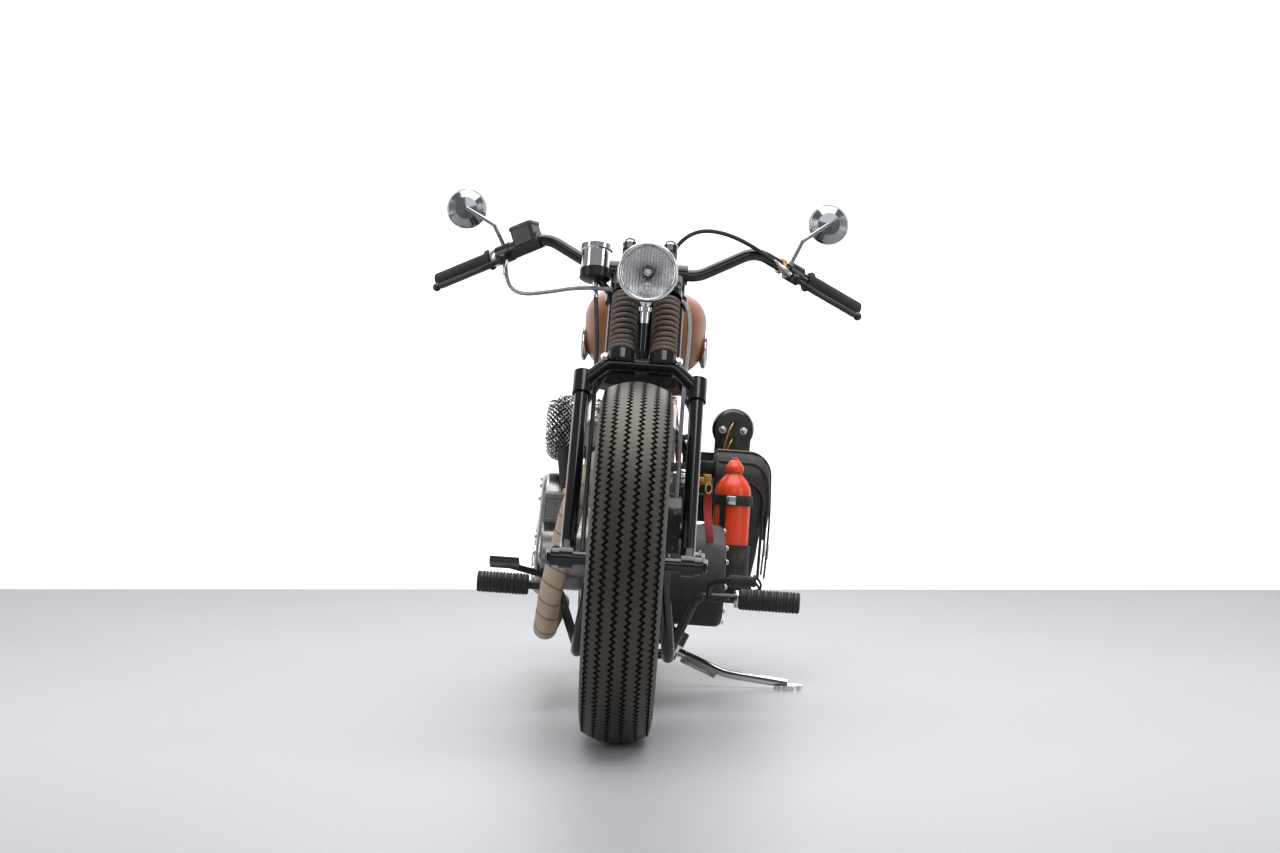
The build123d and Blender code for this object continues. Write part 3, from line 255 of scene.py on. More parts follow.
# Tyres. Black balloon tyres on both wheels, moulded in one piece with the rims' beads, and cut all
# round with zigzag grooves between plain ribs. Road dust browns the ribs; the grooves are painted near
# black as shade.
WHEELBASE = 1.48
TEETH = 166
GROOVES = ((-0.0585, 0.0045), (-0.0370, 0.0058), (-0.0123, 0.0058),
           (0.0123, 0.0058), (0.0370, 0.0058), (0.0585, 0.0045))  # across, depth
GROOVE_HALF, GROOVE_WALL, ZIGZAG = 0.0037, 0.0006, 0.0076
CROWN = 0.012 / 0.052**2  # the tread falls away from its middle by this times the distance squared

rubber = Finish("tyre rubber", Specular_IOR_Level=0.85, Specular_Tint=(1.0, 0.88, 0.74))
# Painted shade: the grooves take a near black colour, while dust browns the ribs.
rib_vs_groove_shade = rubber.uv.part("y")
dust = rubber.at.noise(38, 6.0, 0.65)
grain = rubber.at.noise(900, 2.0)
rubber.set(
    Base_Color=(rib_vs_groove_shade * (0.35 + 0.9 * dust)).mix((0.001, 0.001, 0.001), (0.027, 0.0235, 0.020)),
    Roughness=0.9 - 0.58 * rib_vs_groove_shade + 0.12 * dust,
).bump(grain, 0.0004)


def tread_section():
    """Across, radius and rib height of the tyre's section, with a square-cut groove at each place."""
    floor_half = GROOVE_HALF - GROOVE_WALL
    groove = ((-GROOVE_HALF, 0), (-floor_half, 1), (floor_half, 1), (GROOVE_HALF, 0))
    cuts = [(middle + off, cut) for middle, _ in GROOVES for off, cut in groove]
    lands = [(x, 0) for x in (-0.0475, -0.0245, 0.0, 0.0245, 0.0475)]
    tread = np.array(sorted(cuts + lands))
    side = np.array([(0.0635, 0.3225), (0.0672, 0.3090), (0.0694, 0.2940), (0.0700, 0.2790),
                     (0.0692, 0.2640), (0.0655, 0.2480), (0.0580, 0.2330), (0.0500, 0.2230),
                     (0.0435, 0.2172), (0.0422, 0.2165), (0.0420, 0.2040)])
    depth = np.interp(tread[:, 0], *np.array(GROOVES).T) * tread[:, 1]
    x = np.concatenate([-side[::-1, 0], tread[:, 0], side[:, 0]])
    r = np.concatenate([side[::-1, 1], TYRE_R - CROWN * tread[:, 0] ** 2 - depth, side[:, 1]])
    high = np.concatenate([np.full(len(side), 0.6), 1 - tread[:, 1], np.full(len(side), 0.6)])
    return x, r, high


def round_axle(across, radius, turn, hub_y):
    """Upright points at a radius about a wheel's axle: (across, hub + r cos, hub + r sin)."""
    return np.stack(np.broadcast_arrays(across, hub_y + radius * np.cos(turn),
                                        TYRE_R + radius * np.sin(turn)), -1)


def dressed(piece, body, node):
    """A piece that rides on a body in place of a CAD piece."""
    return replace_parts(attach(piece, body), node)


tread_x, tread_r, tread_high = tread_section()
turn = tau * np.arange(2 * TEETH) / (2 * TEETH)
zig = ZIGZAG * (1 - 2 * (np.arange(2 * TEETH) % 2)) / 2
fade = np.clip((0.0640 - np.abs(tread_x)) / 0.004, 0, 1)
wander = tread_x[None] + zig[:, None] * fade
wander_r = tread_r[None] - CROWN * (wander**2 - tread_x[None] ** 2)
tread_uv = np.stack(np.broadcast_arrays(np.linspace(0, 40, 2 * TEETH + 1)[:, None], tread_high[None]), -1)
for which, hub_at in (("front", 0.0), ("rear", WHEELBASE)):
    grid = round_axle(wander, wander_r, turn[:, None], hub_at)
    tyre = surface(f"{which}_tyre_tread", leaned(grid), rubber, (True, True), tread_uv, 30)
    dressed(tyre, f"{which}_wheel", f"{which}_tyre")

# Wheels. Laced wheels: black rims, plain steel spokes, and alloy hubs with a brake disc bolted on the
# left and, at the rear, a sprocket on the right.
AXLE_WAY = (cos(LEAN), 0.0, -sin(LEAN))


def paint(finish, *nodes):
    """The CAD pieces keep their shape and take this finish."""
    for node in nodes:
        for place in frame["nodes"][node].material_slots:
            place.material = finish.material


def about_axle(finish, hub):
    """Distance from an axle, and place along it, over a surface."""
    arm = finish.at.vector("SUBTRACT", hub)
    off = arm.vector("CROSS_PRODUCT", AXLE_WAY)
    return off.vector("LENGTH", out=1), arm.vector("DOT_PRODUCT", AXLE_WAY, 1)


for which in ("front", "rear"):
    laced = Finish(f"{which} wheel steel")
    reach, along = about_axle(laced, tuple(joint_at[f"{which}_wheel_spin"]))
    tarnish = laced.at.noise(60, 5.0)
    rim = reach.step(0.178, 0.184)
    disc = along.step(0.054, 0.0555) * reach.step(0.060, 0.064)
    rings = (reach * 5200).sine() * disc
    steel = tarnish.mix((0.30, 0.29, 0.28), (0.52, 0.51, 0.50))
    laced.set(
        Base_Color=rim.mix(steel, (0.022, 0.022, 0.023)),
        Metallic=1 - 0.75 * rim,
        Roughness=0.26 + 0.22 * tarnish + 0.05 * rings,
    )
    paint(laced, f"{which}_wheel")

# Frame. A rigid loop frame of bent steel tube, brazed at the neck and stove-enamelled gloss black,
# with plates for the rear axle and one cross tube under the seat.
enamel = Finish("black enamel", Specular_IOR_Level=0.5, Coat_Weight=0.3, Coat_Roughness=0.03)
haze = enamel.at.noise(14, 6.0, 0.6)
specks = enamel.at.noise(420, 2.0).step(0.60, 0.74)
enamel.set(
    Base_Color=(specks * 0.4 + haze * 0.10).mix((0.004, 0.004, 0.0045), (0.05, 0.046, 0.042)),
    Roughness=0.07 + 0.10 * haze + 0.12 * specks,
)
paint(enamel, "frame_backbone", "frame_cradle", "frame_upper_stays", "rear_axle_plates")

chrome = Finish("chrome plate", Metallic=1.0)
smudge = chrome.at.noise(26, 6.0, 0.62)
pits = chrome.at.noise(700, 2.0).step(0.66, 0.76)
chrome.set(
    Base_Color=pits.mix((0.78, 0.78, 0.79), (0.30, 0.26, 0.22)),
    Roughness=0.05 + 0.14 * smudge + 0.3 * pits
)
FORK_UP, FORK_AHEAD = np.array([0, 0.5, 0.8660254]), np.array([0, -0.8660254, 0.5])
FORK_FOOT = np.array([0, 0.0779423, 0.2985])


def on_fork(x, up, ahead):
    """Upright point across, up along the steering axis and ahead of it."""
    x, up, ahead = np.broadcast_arrays(x, up, ahead)
    sideways = np.stack([x, 0 * x, 0 * x], -1)
    return FORK_FOOT + sideways + up[..., None] * FORK_UP + ahead[..., None] * FORK_AHEAD


def unit(vectors):
    """Vectors brought to length one."""
    return vectors / np.linalg.norm(vectors, axis=-1, keepdims=True)


def square_to(way):
    """Two directions at right angles to a way and to each other."""
    way = np.asarray(way, float)
    first = unit(np.cross(way, np.where(np.abs(way[..., :1]) > 0.8, [0.0, 1, 0], [1.0, 0, 0])))
    return first, np.cross(way, first)


def circled(first, second, sides):
    """Circles of radius one in the planes of two directions, cos a first + sin a second."""
    angle = tau * np.arange(sides) / sides
    return np.cos(angle)[:, None] * first[..., None, :] + np.sin(angle)[:, None] * second[..., None, :]


def turned(name, profile, places, ways, finish, sides=12, hexed=0, sharp=40):
    """Like turned pieces: a profile of (radius, height) spun about each way at each place. Its
    first hexed rows follow a hexagon, r cos 30 / cos(a mod 60 - 30)."""
    places, ways = np.atleast_2d(np.asarray(places, float)), np.atleast_2d(np.asarray(ways, float))
    ways = np.broadcast_to(unit(ways), places.shape)
    angle = tau * np.arange(sides) / sides
    shape = np.asarray(profile, float)
    flat = cos(pi / 6) / np.cos(angle % (pi / 3) - pi / 6)
    radius = shape[:, :1] * np.where(np.arange(len(shape))[:, None] < hexed, flat, 1.0)
    ring = circled(*square_to(ways), sides)
    grid = places[:, None, None] + radius[None, :, :, None] * ring[:, None]
    return surface(name, leaned(grid + shape[None, :, 1, None, None] * ways[:, None, None]), finish,
                   (False, True), sharp=sharp)


def fitted(name, profile, places, ways, finish, sides, body):
    """Turned pieces that ride on a body."""
    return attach(turned(name, profile, places, ways, finish, sides), body)


# a bolt's head, then its washer
HEX = [(0, 1.0), (0.75, 1.0), (1, 0.85), (1, 0.2), (1.35, 0.2), (1.35, 0), (0, 0)]


def bolts(name, places, ways, across, tall, finish, body):
    """Hexagon heads on washers, standing out along their ways."""
    profile = [(r * across / 2, h * tall) for r, h in HEX]
    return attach(turned(name, profile, places, ways, finish, 12, 4), body)


# Fork. A springer: rigid rear legs run up through the crowns, sprung front legs carry a yoke under the
# springs, and short rockers join both to the axle. Black enamel, with plated nuts.
paint(enamel, "fork_rigid_legs", "fork_spring_legs", "fork_rockers", "handlebar")
SIDES = np.array([1.0, -1.0])
rocker_face = 0.139
pivots = [(s * rocker_face, y, z) for s in SIDES for y, z in ((0.09828, 0.35373), (0.04152, 0.35535))]
bolts("rocker_nuts", pivots, [(np.sign(p[0]), 0, 0) for p in pivots], 0.024, 0.010, enamel, "steering")
axle_ends = [(s * 0.1432, 0.0, TYRE_R) for s in SIDES]
bolts("front_axle_nuts", axle_ends, [(s, 0, 0) for s in SIDES], 0.031, 0.011, enamel, "steering")
rod_tops = on_fork(SIDES * 0.042, 0.737, 0.084)
bolts("spring_rod_nuts", rod_tops, FORK_UP, 0.024, 0.014, chrome, "steering")
yoke_pins = on_fork(np.array([0.074, -0.074, 0.027, -0.027]), 0.4565, 0.0905)
bolts("yoke_bolts", yoke_pins, FORK_AHEAD, 0.013, 0.008, chrome, "steering")

rust = Finish("weathered spring steel", Metallic=0.25, Specular_IOR_Level=0.3)
bloom = rust.at.noise(45, 6.0, 0.65)
fleck = rust.at.noise(600, 3.0)
rust.set(
    Base_Color=(bloom * 0.8 + fleck * 0.35).mix((0.085, 0.068, 0.057), (0.280, 0.222, 0.182)),
    Roughness=0.55 + 0.35 * bloom,
).bump(fleck, 0.0004)


def coil(foot, way, tall, wide, wire, turns):
    """A wound spring: the wire's ring is carried round a helix whose pitch closes up at both ends."""
    t = np.linspace(0, 1, int(turns * 28) + 1)
    rise = wire / 2 + (tall - wire) * (t - 0.032 * np.sin(tau * t) - 0.006 * np.sin(2 * tau * t))
    first, second = square_to(np.asarray(way, float))
    phase = tau * turns * t
    out = np.cos(phase)[:, None] * first + np.sin(phase)[:, None] * second
    line = np.asarray(foot) + (wide - wire) / 2 * out + rise[:, None] * way
    side = np.cross(unit(np.gradient(line, axis=0)), out)
    thick = wire / 2 * np.sqrt(np.clip(np.minimum(t, 1 - t) * turns * 14, 0, 1))
    return line[:, None] + thick[:, None, None] * circled(out, side, 10)


# Springs: name, foot and head along the steering axis, outside diameter, wire, turns
FORK_SPRINGS = (("main", 0.468, 0.612, 0.057, 0.0094, 11.5),
                ("rebound", 0.626, 0.722, 0.030, 0.0050, 13.0))
wound = []
for name, low, high, wide, wire, turns in FORK_SPRINGS:
    grids = [coil(on_fork(s * 0.042, low, 0.084), FORK_UP, high - low, wide, wire, turns) for s in SIDES]
    wound.append(surface(f"fork_{name}_springs", leaned(np.stack(grids)), rust, (False, True)))
    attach(wound[-1], "steering")
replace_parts(wound[0], "fork_springs")

# Headlamp. A small plated bowl on a post between the springs: a deep reflector with a hooded bulb and
# a pilot bulb below it, behind a lens pressed with upright flutes and held by a rolled rim.
LAMP_FACE, LAMP_R, LAMP_DEPTH = np.array([0, 0.189, 0.9122]), 0.059, 0.092
REAR = np.array([0, 1.0, 0])
bowl_turn = np.linspace(0, pi / 2, 12)
outside = [(LAMP_R * cos(a) ** 0.6, 0.014 + (LAMP_DEPTH - 0.014) * sin(a)) for a in bowl_turn[:-1]]
dish_out = np.linspace(0, 1, 18)[:, None]
# a paraboloid, from its pole out
dish = dish_out * [0.0518, 0] + dish_out**2 * [0, -0.0260] + [0, 0.0348]
hollow = dish[::-1] * [1.022, 0.985] + [0, 0.0042]
bowl = [(0, LAMP_DEPTH), *outside[::-1], (LAMP_R, 0.012), (0.0535, 0.012), *hollow]
shell = turned("headlamp_bowl", bowl, LAMP_FACE, REAR, chrome, 56)
dressed(shell, "steering", "headlamp")
roll = np.linspace(0, tau, 13)
rim_roll = np.stack([0.0562 + 0.0046 * np.cos(roll), 0.0066 + 0.0062 * np.sin(roll)], -1)
fitted("headlamp_rim", rim_roll, LAMP_FACE, REAR, chrome, 72, "steering")

mirror_silver = Finish("silvered reflector", Metallic=0.5)
ripple = mirror_silver.at.noise(120, 2.0)
across_lamp = mirror_silver.at.part("x") * cos(LEAN) - mirror_silver.at.part("z") * sin(LEAN)
# Painted light: upright bright and dark streaks in the reflector's colour stand for the light through the
# lens flutes, and they bump it too.
painted_lens_streaks = (across_lamp * (tau / 0.0062) + 5 * ripple).sine() * 0.5 + 0.5
mirror_silver.set(
    Base_Color=painted_lens_streaks.mix((0.55, 0.56, 0.58), (0.98, 0.98, 1.0)), Roughness=0.10 + 0.12 * ripple
).bump(painted_lens_streaks, 0.0010)
dish_back = dish[::-1] * [1.008, 1.0] + [0, 0.0015]
reflector = np.concatenate([dish, dish_back])
fitted("headlamp_reflector", reflector, LAMP_FACE, REAR, mirror_silver, 56, "steering")
smoke = Finish("bulb hood", Metallic=0.9, Roughness=0.3, Base_Color=(0.035, 0.035, 0.037))
hood = [(0, 0.0160), (0.0135, 0.0165), (0.0155, 0.0185), (0.0160, 0.0330), (0, 0.0350)]
fitted("headlamp_bulb_hood", hood, LAMP_FACE, REAR, smoke, 28, "steering")
bulb_tip = [(0, 0.0120), (0.0050, 0.0125), (0.0070, 0.0145), (0.0070, 0.0180), (0, 0.0180)]
fitted("headlamp_bulb_tip", bulb_tip, LAMP_FACE, REAR, mirror_silver, 20, "steering")
cup = [(0, 0.0095), (0.0035, 0.0100), (0.0050, 0.0125), (0.0065, 0.0125), (0.0105, 0.0078),
       (0.0118, 0.0080), (0.0118, 0.0280), (0, 0.0280)]
pilot_at = LAMP_FACE + [0, 0, -0.033]
fitted("headlamp_pilot_cup", cup, pilot_at, REAR, mirror_silver, 28, "steering")

clear = Finish("lamp glass", Transmission_Weight=1.0, IOR=1.46, Specular_IOR_Level=0.5, Alpha=0.28)
clear.set(Base_Color=(0.97, 0.985, 0.98), Roughness=0.01 + 0.03 * clear.at.noise(30))
across_lamp = clear.at.part("x") * cos(LEAN) - clear.at.part("z") * sin(LEAN)
clear.bump((across_lamp * (tau / 0.0052)).sine(), 0.0012)
radius, turn = np.meshgrid(np.linspace(0, 1, 44), np.linspace(0, tau, 97)[:-1], indexing="ij")
glass_x, glass_z = 0.0522 * radius * np.cos(turn), 0.0522 * radius * np.sin(turn)
swell = 0.0035 * (1 - radius**2)  # the front is a shallow dome, the back carries the flutes
flute = 0.0007 * np.cos(tau * glass_x / 0.0062) * (np.hypot(glass_x, glass_z + 0.033) > 0.013)
front = np.stack([glass_x, 0.0042 - swell, glass_z], -1)
inside = np.stack([glass_x, 0.0070 - swell + flute * (radius < 0.97), glass_z], -1)[::-1]
pane = surface("headlamp_glass", leaned(np.concatenate([front, inside]) + LAMP_FACE), clear, (False, True))
dressed(pane, "steering", "headlamp_lens")

POST_TOP, POST_FOOT = np.array([0, 0.2310, 0.8700]), np.array([0, 0.2360, 0.7290])
post = [(0, 0), (0.0080, 0), (0.0115, 0.006), (0.0130, 0.014), (0.0115, 0.021), (0.0085, 0.024),
        (0.0135, 0.026), (0.0135, 0.034), (0.0092, 0.036), (0.0092, 0.058), (0, 0.058)]
down = unit(POST_FOOT - POST_TOP)
fitted("headlamp_post_nuts", post, POST_TOP, down, chrome, 24, "steering")
stem = [(0, 0.050), (0.0080, 0.050), (0.0080, 0.141), (0, 0.141)]
fitted("headlamp_post", stem, POST_TOP, down, enamel, 20, "steering")

# Gauge. A plated cup standing on the right of the lamp, black round its foot, with a pale dial of plain
# ticks and one red needle, which the rider reads from behind.
GAUGE_FOOT, GAUGE_UP = np.array([-0.111, 0.382, 0.901]), np.array([0, 0.2425, 0.9701])
GAUGE_AT = GAUGE_FOOT + 0.045 * GAUGE_UP
cup_plate = Finish("gauge cup plate")
gauge_arm = cup_plate.at.vector("SUBTRACT", tuple(leaned(GAUGE_AT)))
gauge_rise = gauge_arm.vector("DOT_PRODUCT", tuple(GAUGE_UP), 1)
collar = 1 - gauge_rise.step(-0.0205, -0.0200)
cup_plate.set(
    Base_Color=collar.mix((0.8, 0.8, 0.81), (0.012, 0.012, 0.013)),
    Metallic=1 - 0.8 * collar,
    Roughness=0.06 + 0.1 * cup_plate.at.noise(40, 5.0) + 0.2 * collar,
)
gauge_cup = [(0, -0.045), (0.0260, -0.045), (0.0322, -0.041), (0.0322, -0.0205), (0.0300, -0.0195),
             (0.0300, 0.0180), (0.0335, 0.0205), (0.0335, 0.0310), (0.0295, 0.0328), (0.0268, 0.0328),
             (0.0262, 0.0290), (0, 0.0290)]
gauge = turned("gauge_cup", gauge_cup, GAUGE_AT, GAUGE_UP, cup_plate, 48)
dressed(gauge, "steering", "speedometer")
arm_from, arm_to = GAUGE_FOOT + 0.012 * GAUGE_UP, on_fork(-0.064, 0.650, 0.010)
arm_long = np.linalg.norm(arm_to - arm_from)
gauge_stay = [(0, 0), (0.008, 0), (0.008, arm_long), (0, arm_long)]
fitted("gauge_stay", gauge_stay, arm_from, arm_to - arm_from, enamel, 20, "steering")
dial = Finish("gauge dial")
arm = dial.at.vector("SUBTRACT", tuple(leaned(GAUGE_AT)))
round_dial = dial.at.maths("ARCTAN2", arm.part("x"), arm.part("y"))
out = arm.vector("LENGTH", out=1)
tick = abs((round_dial * (10 / pi)) % 1.0 - 0.5).step(0.40, 0.43) * out.step(0.0345, 0.0348)
dial.set(Base_Color=tick.mix((0.72, 0.70, 0.64), (0.02, 0.02, 0.02)),
         Roughness=0.4 + 0.1 * dial.at.noise(90))
face = [(0, 0.0298), (0.0262, 0.0298), (0.0262, 0.0290), (0, 0.0290)]
fitted("gauge_dial", face, GAUGE_AT, GAUGE_UP, dial, 48, "steering")
needle_red = Finish("needle paint", Roughness=0.45)
needle_red.set(Base_Color=needle_red.at.noise(300).mix((0.42, 0.02, 0.012), (0.55, 0.035, 0.02)))
along = np.linspace(-0.005, 0.021, 8)[:, None]
half = np.interp(along, [-0.005, -0.004, 0, 0.020, 0.021], [0, 0.0010, 0.0016, 0.0005, 0])
half = half * np.array([[1, 1, -1, -1.0]])
rise = 0 * half + np.array([[0.0304, 0.0310, 0.0310, 0.0304]])
gauge_ways = np.array([(1, 0, 0), (0, 0.9701, -0.2425), GAUGE_UP])
needle = GAUGE_AT + np.stack([half, 0 * half + along, rise], -1) @ gauge_ways
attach(surface("gauge_needle", leaned(needle), needle_red, (False, True)), "steering")

# Handlebar fittings. Rubber grips with end caps, black levers and perches on the bar, a brake
# reservoir with a screwed lid on the right, and round plated mirrors on bent stems.
BAR_END, BAR_KNEE = np.array([0.449, 0.560, 0.891]), np.array([0.222, 0.457, 0.992])
BAR_IN = unit(BAR_KNEE - BAR_END)
MIRROR_X = np.array([-1.0, 1, 1])
grip_rubber = Finish("grip rubber", Specular_IOR_Level=0.35)
grip_rubber.vary((70, 5.0), (0.018, 0.018, 0.018), (0.055, 0.052, 0.048), 0.5, 0.3)
grip_rubber.bump(grip_rubber.at.noise(1100, 2.0), 0.0003)
rows = np.linspace(0.010, 0.120, 111)
ribs = np.stack([0.0174 + 0.00045 * np.sign(np.sin(rows * tau / 0.0049)) * (rows < 0.116), rows], -1)
grip = np.concatenate([[(0, 0), (0.0120, 0), (0.0170, 0.0018), (0.0179, 0.005), (0.0179, 0.009)], ribs,
                       [(0.0178, 0.128), (0.0224, 0.132), (0.0226, 0.136), (0.0205, 0.139), (0, 0.140)]])
grip_ways = np.stack([BAR_IN, BAR_IN * MIRROR_X])
grip_ends = np.stack([BAR_END, BAR_END * MIRROR_X]) - 0.006 * grip_ways
grips = turned("grips", grip, grip_ends, grip_ways, grip_rubber, 40)
dressed(grips, "steering", "grips")

lever_black = Finish("worn black alloy", Specular_IOR_Level=0.5, Coat_Weight=0.25, Coat_Roughness=0.15)
rubbed = lever_black.at.noise(35, 6.0, 0.7)
bare = rubbed.step(0.60, 0.70)
lever_black.set(
    Base_Color=bare.mix((0.016, 0.016, 0.017), (0.24, 0.22, 0.19)),
    Metallic=0.2 + 0.7 * bare,
    Roughness=0.24 + 0.25 * rubbed,
).bump(rubbed, 0.0003)
paint(lever_black, "hand_levers")
smoked = Finish("smoked chrome", Metallic=1.0)
smoked.vary((30, 6.0, 0.6), (0.30, 0.32, 0.345), (0.40, 0.42, 0.44), 0.05, 0.12)
paint(smoked, "mirrors")
looking_glass = Finish("mirror glass", Metallic=1.0, Base_Color=(0.86, 0.88, 0.9))
looking_glass.set(Roughness=0.015 + 0.05 * looking_glass.at.noise(18, 4.0))
disc = [(0, 0.0022), *((r, 0.0022 - 0.0016 * (r / 0.039) ** 2) for r in (0.012, 0.024, 0.034, 0.039)),
        (0, -0.0005)]
glass_at = [(0.376, 0.520, 1.065), (-0.399, 0.520, 1.046)]
fitted("mirror_glass", disc, glass_at, REAR, looking_glass, 56, "steering")
LID_UP = unit(np.array([0, 0, 1]) - BAR_IN[2] * BAR_IN * MIRROR_X)
lid_x, lid_y = BAR_IN * MIRROR_X, np.cross(LID_UP, BAR_IN * MIRROR_X)
lid_at = BAR_END * MIRROR_X + 0.226 * lid_x + 0.036 * LID_UP
worn_metal = Finish("worn grey metal", Metallic=0.6)
worn_metal.vary((40, 6.0, 0.68), (0.16, 0.145, 0.13), (0.07, 0.062, 0.055), 0.38, 0.25)


def soft_square(count, half, square):
    """Points round a rectangle of the two half sizes with its corners cut: (cos, sin) times square, kept
    within 1, times half."""
    turn = tau * np.arange(count) / count
    return np.clip(square * np.stack([np.cos(turn), np.sin(turn)], -1), -1, 1) * half


lid_flat = soft_square(40, (0.0275, 0.0245), 1.25) @ np.stack([lid_x, lid_y])
lid_rows = [(0, -0.001), (1, -0.001), (1.03, 0.001), (1.03, 0.005), (0.98, 0.0068), (0.80, 0.0070),
            (0.78, 0.0060), (0, 0.0060)]
lid = np.stack([lid_at + share * lid_flat + h * LID_UP for share, h in lid_rows])
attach(surface("reservoir_lid", leaned(lid), worn_metal, (False, True)), "steering")
lid_screws = [lid_at + a * lid_x + b * lid_y + 0.0062 * LID_UP for a in (-0.018, 0.018)
              for b in (-0.013, 0.013)]
screw = [(0, 0.0018), (0.0022, 0.0016), (0.0032, 0.0006), (0.0032, -0.001), (0, -0.001)]
fitted("reservoir_screws", screw, lid_screws, LID_UP, chrome, 16, "steering")
cap = [(0, -0.0030), (0.0080, -0.0028), (0.0135, -0.0008), (0.0142, 0.0030), (0.0130, 0.0040), (0, 0.0040)]
fitted("grip_caps", cap, grip_ends, grip_ways, chrome, 32, "steering")
throttle = [(0.0120, -0.012), (0.0185, -0.012), (0.0200, -0.009), (0.0200, 0.009), (0.0185, 0.012),
            (0.0120, 0.012), (0.0120, -0.012)]
fitted("throttle_collar", throttle, BAR_END * MIRROR_X + 0.149 * lid_x, lid_x, chrome, 32, "steering")
brass = Finish("brass", Metallic=1.0)
brass.vary((80, 5.0), (0.50, 0.27, 0.08), (0.72, 0.44, 0.16), 0.25, 0.3)
band = [(0.0125, -0.004), (0.0168, -0.004), (0.0172, 0), (0.0168, 0.004), (0.0125, 0.004),
        (0.0125, -0.004)]
fitted("clutch_perch_band", band, BAR_END + 0.202 * BAR_IN, BAR_IN, brass, 28, "steering")

# Cables. Three cables stay with the steering: the clutch's black sleeve over the lamp, the front brake's
# steel-braided hose down to its caliper, and the gauge's drive down to the hub.
CABLE_D = 0.009


def cable(name, route, finish, body, width=CABLE_D):
    """A round cable: its line is the quadratic B-spline over the route's points."""
    line = bpy.data.curves.new(name, "CURVE")
    line.dimensions = "3D"
    spline = line.splines.new("NURBS")
    spline.points.add(len(route) - 1)
    spline.points.foreach_set("co", np.column_stack([leaned(route), np.ones(len(route))]).ravel())
    spline.order_u = 3
    spline.use_endpoint_u = True
    spline.resolution_u = 10
    made = bpy.data.objects.new(name, line)
    scene.collection.objects.link(made)
    bare = bpy.data.meshes.new_from_object(made)
    points = np.empty(3 * len(bare.vertices))
    bare.vertices.foreach_get("co", points)
    bpy.data.meshes.remove(bare)
    line.bevel_depth, line.bevel_resolution, line.use_fill_caps = width / 2, 3, True
    line.materials.append(finish.material)
    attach(made, body)
    return made


sleeve = Finish("cable sleeve", Specular_IOR_Level=0.4)
sleeve.vary((50, 5.0), (0.010, 0.010, 0.011), (0.04, 0.037, 0.034), 0.34, 0.3)
braid = Finish("steel braid", Metallic=1.0)
weave = (braid.at.part("x") * 2600 + braid.at.part("z") * 2600).sine()
weft = (braid.at.part("x") * 2600 - braid.at.part("z") * 2600).sine()
braid.set(Base_Color=(weave * weft).mix((0.32, 0.32, 0.34), (0.62, 0.62, 0.64)),
          Roughness=0.28 + 0.1 * weave)
braid.bump(weave * weft, 0.0004)
PERCH_AHEAD = np.array([0, -0.9439, -0.3304])
HOSE_PERCH = BAR_END * MIRROR_X + 0.168 * BAR_IN * MIRROR_X + 0.014 * PERCH_AHEAD
CLUTCH_PULL = BAR_END + 0.180 * BAR_IN + 0.030 * PERCH_AHEAD
CLUTCH = np.array([CLUTCH_PULL, (0.236, 0.446, 0.992), (0.150, 0.412, 1.025), (0.084, 0.396, 1.020),
                   (0.040, 0.402, 0.968), (0.034, 0.366, 0.880), on_fork(0.030, 0.4717, 0.028)])
BRAKE = np.array([HOSE_PERCH, (-0.302, 0.462, 0.892), (-0.270, 0.432, 0.864), (-0.205, 0.398, 0.872),
                  (-0.145, 0.366, 0.884), (-0.060, 0.354, 0.884), (0.060, 0.356, 0.880),
                  (0.096, 0.330, 0.850), on_fork(0.088, 0.430, 0.035), on_fork(0.088, 0.190, 0.035),
                  (0.088, 0.120, 0.440)])
DRIVE = np.array([GAUGE_FOOT + 0.004 * GAUGE_UP, on_fork(-0.100, 0.600, 0.034),
                  on_fork(-0.090, 0.440, 0.037), on_fork(-0.090, 0.120, 0.034), (-0.085, 0.006, 0.354)])
clutch_cable = cable("clutch_cable", CLUTCH, sleeve, "steering")
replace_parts(clutch_cable, "control_cables")
cable("brake_hose", BRAKE, braid, "steering")
cable("gauge_drive", DRIVE, sleeve, "steering")
ferrule = [(0, -0.002), (0.0062, -0.002), (0.0062, 0.024), (0.0050, 0.026), (0.0050, 0.046), (0, 0.046)]
starts = np.stack([route[0] for route in (CLUTCH, BRAKE, DRIVE)])
leads = np.stack([route[1] - route[0] for route in (CLUTCH, BRAKE, DRIVE)])
fitted("cable_ferrules", ferrule, starts, leads, chrome, 16, "steering")

# Fuel tank. A narrow teardrop on the backbone, sprayed a warm copper brown and flatted back, with a
# plated filler cap and a bare plated oval on each side.
copper = Finish("copper brown paint", Specular_IOR_Level=0.35, Coat_Weight=0.15, Coat_Roughness=0.2)
cloud = copper.at.noise(9, 6.0, 0.6)
flakes = copper.at.noise(900, 2.0).step(0.52, 0.70)
scuff = copper.at.noise(60, 8.0, 0.75).step(0.60, 0.72)
tone = cloud.mix((0.215, 0.076, 0.032), (0.345, 0.132, 0.060))
copper.set(
    Base_Color=scuff.mix(flakes.mix(tone, (0.46, 0.20, 0.10)), (0.12, 0.058, 0.034)),
    Metallic=0.25 + 0.25 * flakes,
    Roughness=0.32 + 0.18 * cloud + 0.15 * scuff,
).bump(flakes, 0.0001)
paint(copper, "fuel_tank")
BADGE_AT, BADGE_HALF = np.array([0.131, 0.620, 0.787]), (0.013, 0.060, 0.045)
rise, turn = np.meshgrid(np.linspace(0, pi, 19), np.linspace(0, tau, 49)[:-1], indexing="ij")
lens = np.stack([np.cos(rise), np.sin(rise) * np.cos(turn), np.sin(rise) * np.sin(turn)], -1) * BADGE_HALF
badges = surface("tank_badges", leaned(np.stack([lens + BADGE_AT, lens + BADGE_AT * MIRROR_X])), chrome,
                 (False, True))
dressed(badges, "frame", "tank_fittings")
